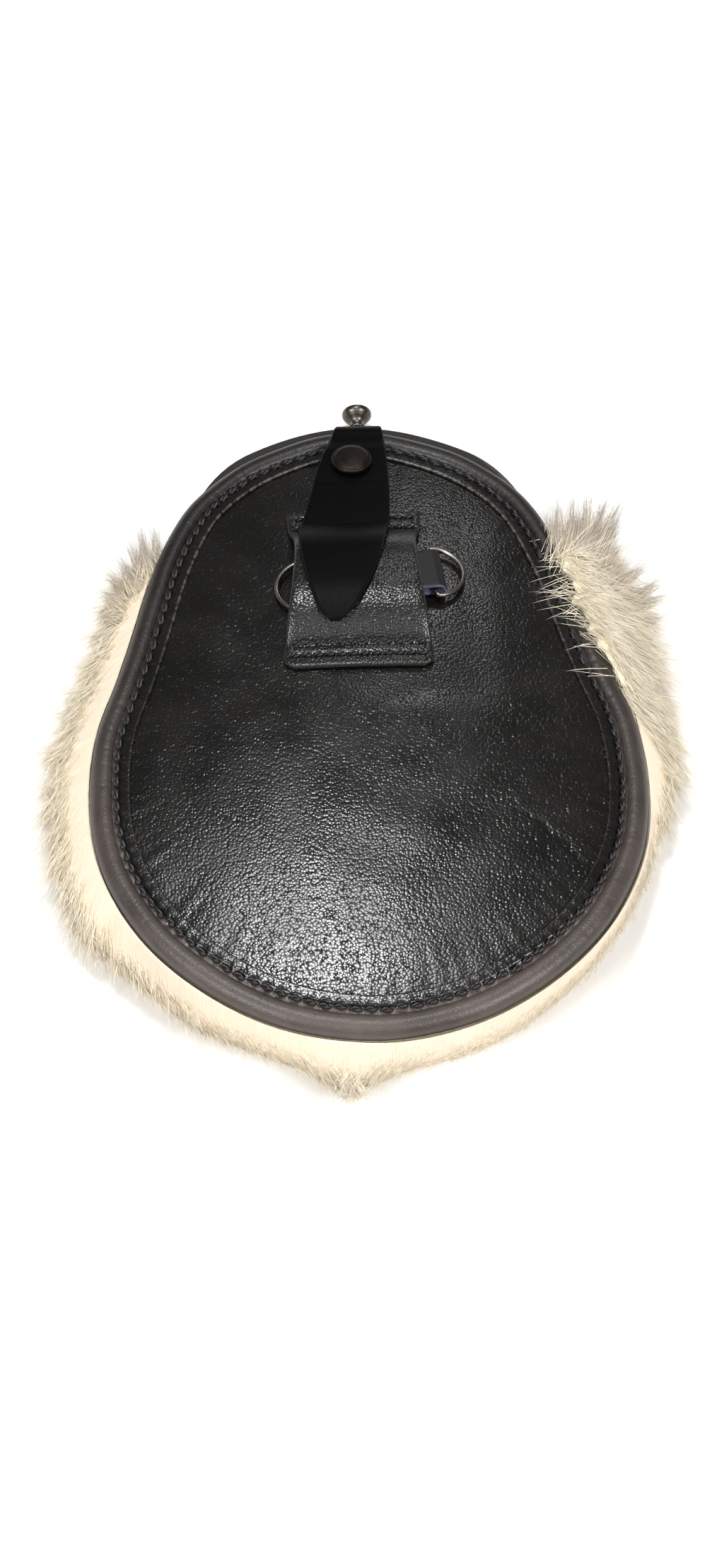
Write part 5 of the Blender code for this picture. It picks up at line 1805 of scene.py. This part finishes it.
# %% Roots and hairs
ROOTS_BEGIN = 0.76
ROOTS_BEGIN_EARLIER = 0.30
ROOTS_RUN = 0.04
ROOT_DENSITY = ((0.80, 0.86, 1.0), (1.0, 0.4, 0.1))
LIE_OUTWARD = 0.6
LIE_DOWNWARD = 0.9
LIFT = (0.13, 0.06)
LIFT_LIMITS = (0.04, 0.3)
CLUMP_TURN = 0.10
HAIR_TURN = 0.07
BEND_SPREAD = 0.07
BEND_DOWN = 0.06
HAIR_LENGTHS = (0.6, 1.2)
HAIR_WIDTHS = (0.6, 1.1)
GREY_AT_BINDING = -0.22
GREY_OUTWARD = 0.66
GREY_SPREAD = 0.14


def coat_frames():
    """Middle, outward normal and area of each cell of the coat's grid."""
    after = np.roll(coat, -1, axis=0)
    normal = np.cross(coat[:, 1:] - coat[:, :-1], after[:, :-1] - coat[:, :-1])
    area = np.linalg.norm(normal, axis=2)
    normal = normal / (area[..., None] + 1e-12)
    middle = (coat[:, :-1] + coat[:, 1:] + after[:, :-1] + after[:, 1:]) / 4
    outer = slice(2 * COAT_COLUMNS // 3, COAT_COLUMNS - 6)
    faces_out = np.einsum("ijk,ijk->ij", normal[:, outer, :2], middle[:, outer, :2])
    return middle, normal * np.sign(np.median(faces_out)), area


def hair_roots(count, rng):
    """Cells drawn in proportion to area, from beside the binding down to the underside."""
    middles, normals, area = coat_frames()
    column = np.arange(area.shape[1])
    share = column[None, :] / COAT_COLUMNS
    begins = (ROOTS_BEGIN - ROOTS_BEGIN_EARLIER * overlap(COAT_TURNS))[:, None]
    density = np.clip((share - begins) / ROOTS_RUN, 0, 1) * np.interp(share, *ROOT_DENSITY)
    open_fur = 90 - from_top(COAT_TURNS) < FUR_WALL_GONE + 1.0
    chance = (area * density * open_fur[:, None]).ravel()
    chosen = np.searchsorted(np.cumsum(chance), rng.uniform(0, chance.sum(), count))
    i, j = np.unravel_index(chosen, area.shape)
    aside = np.roll(middles, -1, axis=0)[i, j] - middles[i, j]
    onward = middles[i, np.minimum(j + 1, area.shape[1] - 1)] - middles[i, j]
    u, v = rng.uniform(-0.5, 0.5, (2, count, 1))
    outness = (j / area.shape[1] - 0.45) / 0.55
    return middles[i, j] + aside * u + onward * v, normals[i, j], COAT_TURNS[i], outness


def unit(vectors):
    """Each vector over its own length."""
    return vectors / (np.linalg.norm(vectors, axis=-1, keepdims=True) + 1e-12)


def make_hairs(piece_number):
    """Clumps drawn over the coat: each hair heads along the lie, plus a lift off the skin and a turn
    that its clump shares, and bends back towards the middle of its clump."""
    rng = np.random.default_rng(100 + piece_number)
    clumps = HAIRS_A_PIECE // CLUMP_HAIRS
    clump_root, clump_normal, clump_angle, clump_out = hair_roots(clumps, rng)
    which = np.repeat(np.arange(clumps), CLUMP_HAIRS)
    count = len(which)
    normal = clump_normal[which]
    turn = np.radians(clump_angle[which])
    scatter = rng.normal(0, CLUMP_SPREAD, (count, 3))
    scatter -= normal * np.einsum("ij,ij->i", normal, scatter)[:, None]
    root = clump_root[which] + scatter - normal * ROOT_DEPTH
    sideways = np.abs(np.cos(turn))
    radial = np.stack([np.cos(turn), np.sin(turn), 0 * turn], axis=-1)
    lie = LIE_OUTWARD * radial + np.array((0, -LIE_DOWNWARD, 0)) * sideways[:, None]
    lie = unit(lie - normal * np.einsum("ij,ij->i", normal, lie)[:, None])
    lift = np.clip(rng.normal(*LIFT, clumps), *LIFT_LIMITS)[which]
    stray = rng.uniform(0, 1, count) < STRAY_SHARE
    lift = lift + STRAY_LIFT * stray
    clump_turn = rng.normal(0, CLUMP_TURN, (clumps, 3))[which]
    direction = unit(normal * lift[:, None] + lie + clump_turn + rng.normal(0, HAIR_TURN, (count, 3)))
    table_angles, shares = np.array(FUR_REACH, float).T
    fullness = smooth_round(table_angles, shares, clump_angle)[which]
    length = (HAIR_LENGTH + HAIR_LENGTH_IN_FULL_FUR * fullness) * rng.uniform(*HAIR_LENGTHS, count)
    length = length * (1 + STRAY_LONGER * stray)
    pull = (clump_root[which] - root) * CLUMP_PULL / length[:, None]
    bend = rng.normal(0, BEND_SPREAD, (clumps, 3))[which] + pull - normal * BEND_DOWN
    width = HAIR_WIDTH * rng.uniform(*HAIR_WIDTHS, count)
    out = clump_out[which]
    grey = np.clip(GREY_AT_BINDING + GREY_OUTWARD * out + rng.normal(0, GREY_SPREAD, count), 0, 1)
    return grow("guard_hairs_%d" % piece_number, root, direction, bend, length, width, grey)


for number in range(1, HAIR_PIECES + 1):
    hairs = dress(make_hairs(number), guard_hair, "cream_fur")
    print(hairs.name, "triangles:", len(hairs.data.polygons))

# %% [markdown]
# ## Fur: the tufts at the top corners
#
# Where the fur's strip is cut off below the mouth, its ends fan out and stand up as spiky grey
# tufts. They are too particular to leave to chance, so each lock has a row in a table: where it is
# rooted and where its tip is. Its hairs start spread out and meet near the tip.

# %% Tufts
TUFT_LOCKS = (
    # root x, y and height in mm, tip x, y and height in mm, hairs
    (59, 60, 20, 56, 74, 25, 90),
    (60, 58, 21, 60, 77, 26, 130),
    (62, 56, 21, 65, 79, 26, 160),
    (64, 55, 20, 70, 81, 25, 190),
    (66, 54, 20, 76, 80, 25, 190),
    (67, 53, 20, 81, 79, 24, 170),
    (67, 52, 20, 79, 71, 24, 160),
    (69, 50, 19, 79, 64, 23, 130),
    (73, 47, 18, 86, 56, 22, 150),
    (75, 45, 17, 90, 51, 21, 160),
    (77, 43, 16, 91, 46, 20, 150),
    (79, 41, 15, 90, 40, 18, 110),
    (59, 56, 23, 58, 70, 27, 100),
    (61, 53, 24, 66, 71, 28, 140),
    (64, 51, 23, 72, 68, 27, 140),
    (67, 48, 22, 80, 55, 25, 130),
    (-59, 58, 17, -58, 71, 21, 90),
    (-60, 57, 17, -62, 74, 21, 130),
    (-62, 56, 17, -66, 74, 21, 150),
    (-63, 55, 16, -70, 70, 20, 150),
    (-65, 53, 16, -73, 65, 19, 140),
    (-67, 51, 15, -76, 60, 18, 130),
    (-69, 48, 15, -78, 54, 17, 120),
    (-70, 45, 15, -79, 47, 16, 100),
    (-61, 55, 20, -65, 67, 23, 120),
    (-64, 52, 19, -71, 60, 21, 120),
)
TUFT_ROOT_SPREAD = 2.4 * MM
TUFT_TIP_SPREAD = 1.0 * MM
TUFT_HAIR_WIDTH = 0.20 * MM
TUFT_LOCK_BOW = 0.10
TUFT_HAIR_BOW = 0.05
TUFT_LENGTHS = (0.55, 1.08)
TUFT_GREY = (0.80, 0.15)


def make_tufts():
    """Straight from a spread root to a tip that its lock shares, with a bow that is taken back at the
    tip; the bow leaves in the direction and returns with t²."""
    rng = np.random.default_rng(9)
    table = np.array(TUFT_LOCKS, float)
    which = np.repeat(np.arange(len(table)), table[:, 6].astype(int))
    count = len(which)
    root = table[which, 0:3] * MM + rng.normal(0, TUFT_ROOT_SPREAD, (count, 3)) * (1, 1, 0.5)
    tip = table[which, 3:6] * MM + rng.normal(0, TUFT_TIP_SPREAD, (count, 3)) * (1, 1, 0.8)
    way = tip - root
    span = np.linalg.norm(way, axis=1)
    lock_bow = rng.normal(0, TUFT_LOCK_BOW, (len(table), 3))[which]
    bow = lock_bow + rng.normal(0, TUFT_HAIR_BOW, (count, 3))
    direction = way / span[:, None] - bow
    length = span * rng.uniform(*TUFT_LENGTHS, count)
    width = TUFT_HAIR_WIDTH * rng.uniform(*HAIR_WIDTHS, count)
    grey = np.clip(rng.normal(*TUFT_GREY, count), 0, 1)
    return grow("fur_tufts", root, direction, bow, length, width, grey, rings=3)


tufts = dress(make_tufts(), guard_hair, "cream_fur")
print(tufts.name, "triangles:", len(tufts.data.polygons))

# %% [markdown]
# ## Stray hairs on the leather
#
# Where the fur lies over the binding, single pale hairs point inward across the black leather. They
# are few and thin, but they are the first thing that the eye finds on the dark ground.

# %% Stray hairs
STRAY_HAIRS = (
    # angle of the group round the pouch in degrees, spread in degrees, hairs
    (45, 1.2, 3),
    (41, 1.6, 5),
    (37.5, 1.0, 7),
    (34, 0.8, 12),
    (30.5, 0.7, 9),
    (27, 1.2, 6),
    (21, 1.5, 4),
    (14, 2.5, 3),
)
STRAY_WIDTH = 0.24 * MM
STRAY_LENGTH = (5 * MM, 14 * MM)
STRAY_ROOT_INSET = 3.2 * MM
STRAY_ROOT_RISE = 1.2 * MM
STRAY_HEADING = (-1.0, -0.20, 0.12)
STRAY_BEND = (0.0, -0.03, -0.10)
STRAY_GROUP_TURN = 0.22
STRAY_TURN = 0.26
STRAY_BEND_SPREAD = 0.05


def make_strays():
    """Groups of hairs at some angles, rooted on the binding's roll and heading inward over it."""
    rng = np.random.default_rng(77)
    table = np.array(STRAY_HAIRS, float)
    which = np.repeat(np.arange(len(table)), table[:, 2].astype(int))
    count = len(which)
    angles = rng.normal(table[which, 0], table[which, 1])
    over = overlap(angles)
    inset = -STRAY_ROOT_INSET * over * rng.uniform(0.4, 1.1, count)
    x, y = edge(angles, inset)
    above = ROLL_RISE * (0.3 + 0.7 * over) + STRAY_ROOT_RISE * rng.uniform(0.2, 1.2, count)
    root = np.stack([x, y, back_z(x, y) + above], axis=-1)
    group_turn = rng.normal(0, STRAY_GROUP_TURN, (len(table), 3))[which]
    heading = np.array(STRAY_HEADING) + group_turn * (1, 1, 0.2)
    heading = heading + rng.normal(0, STRAY_TURN, (count, 3)) * (1, 1, 0.3)
    bend = np.array(STRAY_BEND) + rng.normal(0, STRAY_BEND_SPREAD, (count, 3)) * (1, 1, 0.3)
    length = rng.uniform(*STRAY_LENGTH, count)
    width = STRAY_WIDTH * rng.uniform(0.7, 1.1, count)
    return grow("stray_hairs", root, unit(heading), bend, length, width, np.zeros(count), 3)


dress(make_strays(), guard_hair, "cream_fur")
print("stray hairs:", sum(row[2] for row in STRAY_HAIRS))

# %% [markdown]
# ## Floor, light and camera
#
# The pouch lies on a plain pale floor under soft studio light. A lamp high behind the pouch draws
# the broad shine on the lower back, and one beside the camera lights the belt loop and the wire.
# The camera stands where the photograph was taken from: above the bottom of the pouch, looking
# down at about sixty degrees.

# %% Studio
FLOOR_SIZE = 6.0
FLOOR_CLOUDS = 4.0
WORLD_STRENGTH = 0.14
floor_mesh = bpy.data.meshes.new("floor")
half_floor = FLOOR_SIZE / 2
floor_corners = [(x * half_floor, y * half_floor, 0) for x, y in ((-1, -1), (1, -1), (1, 1), (-1, 1))]
floor_mesh.from_pydata(floor_corners, [], [(0, 1, 2, 3)])
floor = bpy.data.objects.new("floor", floor_mesh)
bpy.context.scene.collection.objects.link(floor)
# Matt white board: it scatters the light and hardly reflects
floor_paint, floor_tree, floor_shader = new_material(
    "matt_white_board", "#F6F5F3", 0.8, Specular_IOR_Level=0.2
)
floor_cloud = add(floor_tree, "TexNoise", {"Scale": FLOOR_CLOUDS, "Detail": 2.0})
floor_tones = {0: floor_cloud.outputs["Fac"], 6: colour("#F8F7F5"), 7: colour("#F3F2F0")}
floor_shade = add(floor_tree, "Mix", floor_tones, data_type="RGBA")
floor_tree.links.new(floor_shade.outputs[2], floor_shader.inputs["Base Color"])
floor_mesh.materials.append(floor_paint)

LAMPS = (
    # name, place in m, size in m, power in W
    ("behind", (-0.08, 0.26, 1.15), 0.16, 7.6),
    ("left", (-0.75, -0.62, 0.95), 0.45, 10.8),
    ("right", (0.75, -0.62, 0.95), 0.45, 11.8),
    ("front", (0.0, -0.66, 1.05), 0.50, 1.4),
    ("cantle", (0.06, 0.33, 0.29), 0.06, 0.12),
)
for name, place, size, power in LAMPS:
    lamp = bpy.data.lights.new("lamp_" + name, "AREA")
    lamp.shape = "DISK"
    lamp.size = size
    lamp.energy = power
    holder = bpy.data.objects.new("lamp_" + name, lamp)
    bpy.context.scene.collection.objects.link(holder)
    holder.location = place
    holder.rotation_euler = (-Vector(place)).to_track_quat("-Z", "Y").to_euler()

world = bpy.data.worlds.new("studio")
world.use_nodes = True
world.node_tree.nodes["Background"].inputs["Color"].default_value = (1.0, 1.0, 1.0, 1.0)
world.node_tree.nodes["Background"].inputs["Strength"].default_value = WORLD_STRENGTH
bpy.context.scene.world = world
bpy.context.scene.view_settings.view_transform = "Standard"
print("lamps:", [row[0] for row in LAMPS])

# %% [markdown]
# ## The camera
#
# Its angle and place are the ones at which the pouch falls where the photograph has it. The lens
# follows from them: a metre at the target is so many pixels long, and the focal length is the
# sensor's size x those pixels x the distance, over the picture's longer side.

# %% Camera
PHOTO_SIZE = (1024, 2219)
SENSOR = 36.0
CAMERA_ELEVATION = math.radians(60.96)
CAMERA_ASIDE = math.radians(-2.47)
CAMERA_ROLL = math.radians(0.68)
CAMERA_DISTANCE = 0.6
CAMERA_TARGET = Vector((-0.0003, -0.0329, 0.030))
PIXELS_A_METRE = 5088
away = Vector(
    (
        math.sin(CAMERA_ASIDE) * math.cos(CAMERA_ELEVATION),
        -math.cos(CAMERA_ASIDE) * math.cos(CAMERA_ELEVATION),
        math.sin(CAMERA_ELEVATION),
    )
)
camera_data = bpy.data.cameras.new("camera")
camera_data.sensor_width = SENSOR
camera_data.lens = SENSOR * PIXELS_A_METRE * CAMERA_DISTANCE / max(PHOTO_SIZE)
camera_data.clip_start = 0.01
camera = bpy.data.objects.new("camera", camera_data)
bpy.context.scene.collection.objects.link(camera)
camera.location = CAMERA_TARGET + away * CAMERA_DISTANCE
look = (-away).to_track_quat("-Z", "Y").to_matrix()
camera.rotation_euler = (look @ look.Rotation(CAMERA_ROLL, 3, "Z")).to_euler()
bpy.context.scene.camera = camera
print("lens: %.1f mm" % camera_data.lens)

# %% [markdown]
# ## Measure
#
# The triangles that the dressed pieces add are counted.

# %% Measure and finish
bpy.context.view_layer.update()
added = [o for o in bpy.context.scene.objects if o.type == "MESH" and o.name not in frame["nodes"]]
triangles = {o.name: sum(len(p.vertices) - 2 for p in o.data.polygons) for o in added}
print("triangles added:", sum(triangles.values()), "most in one piece:", max(triangles.values()))
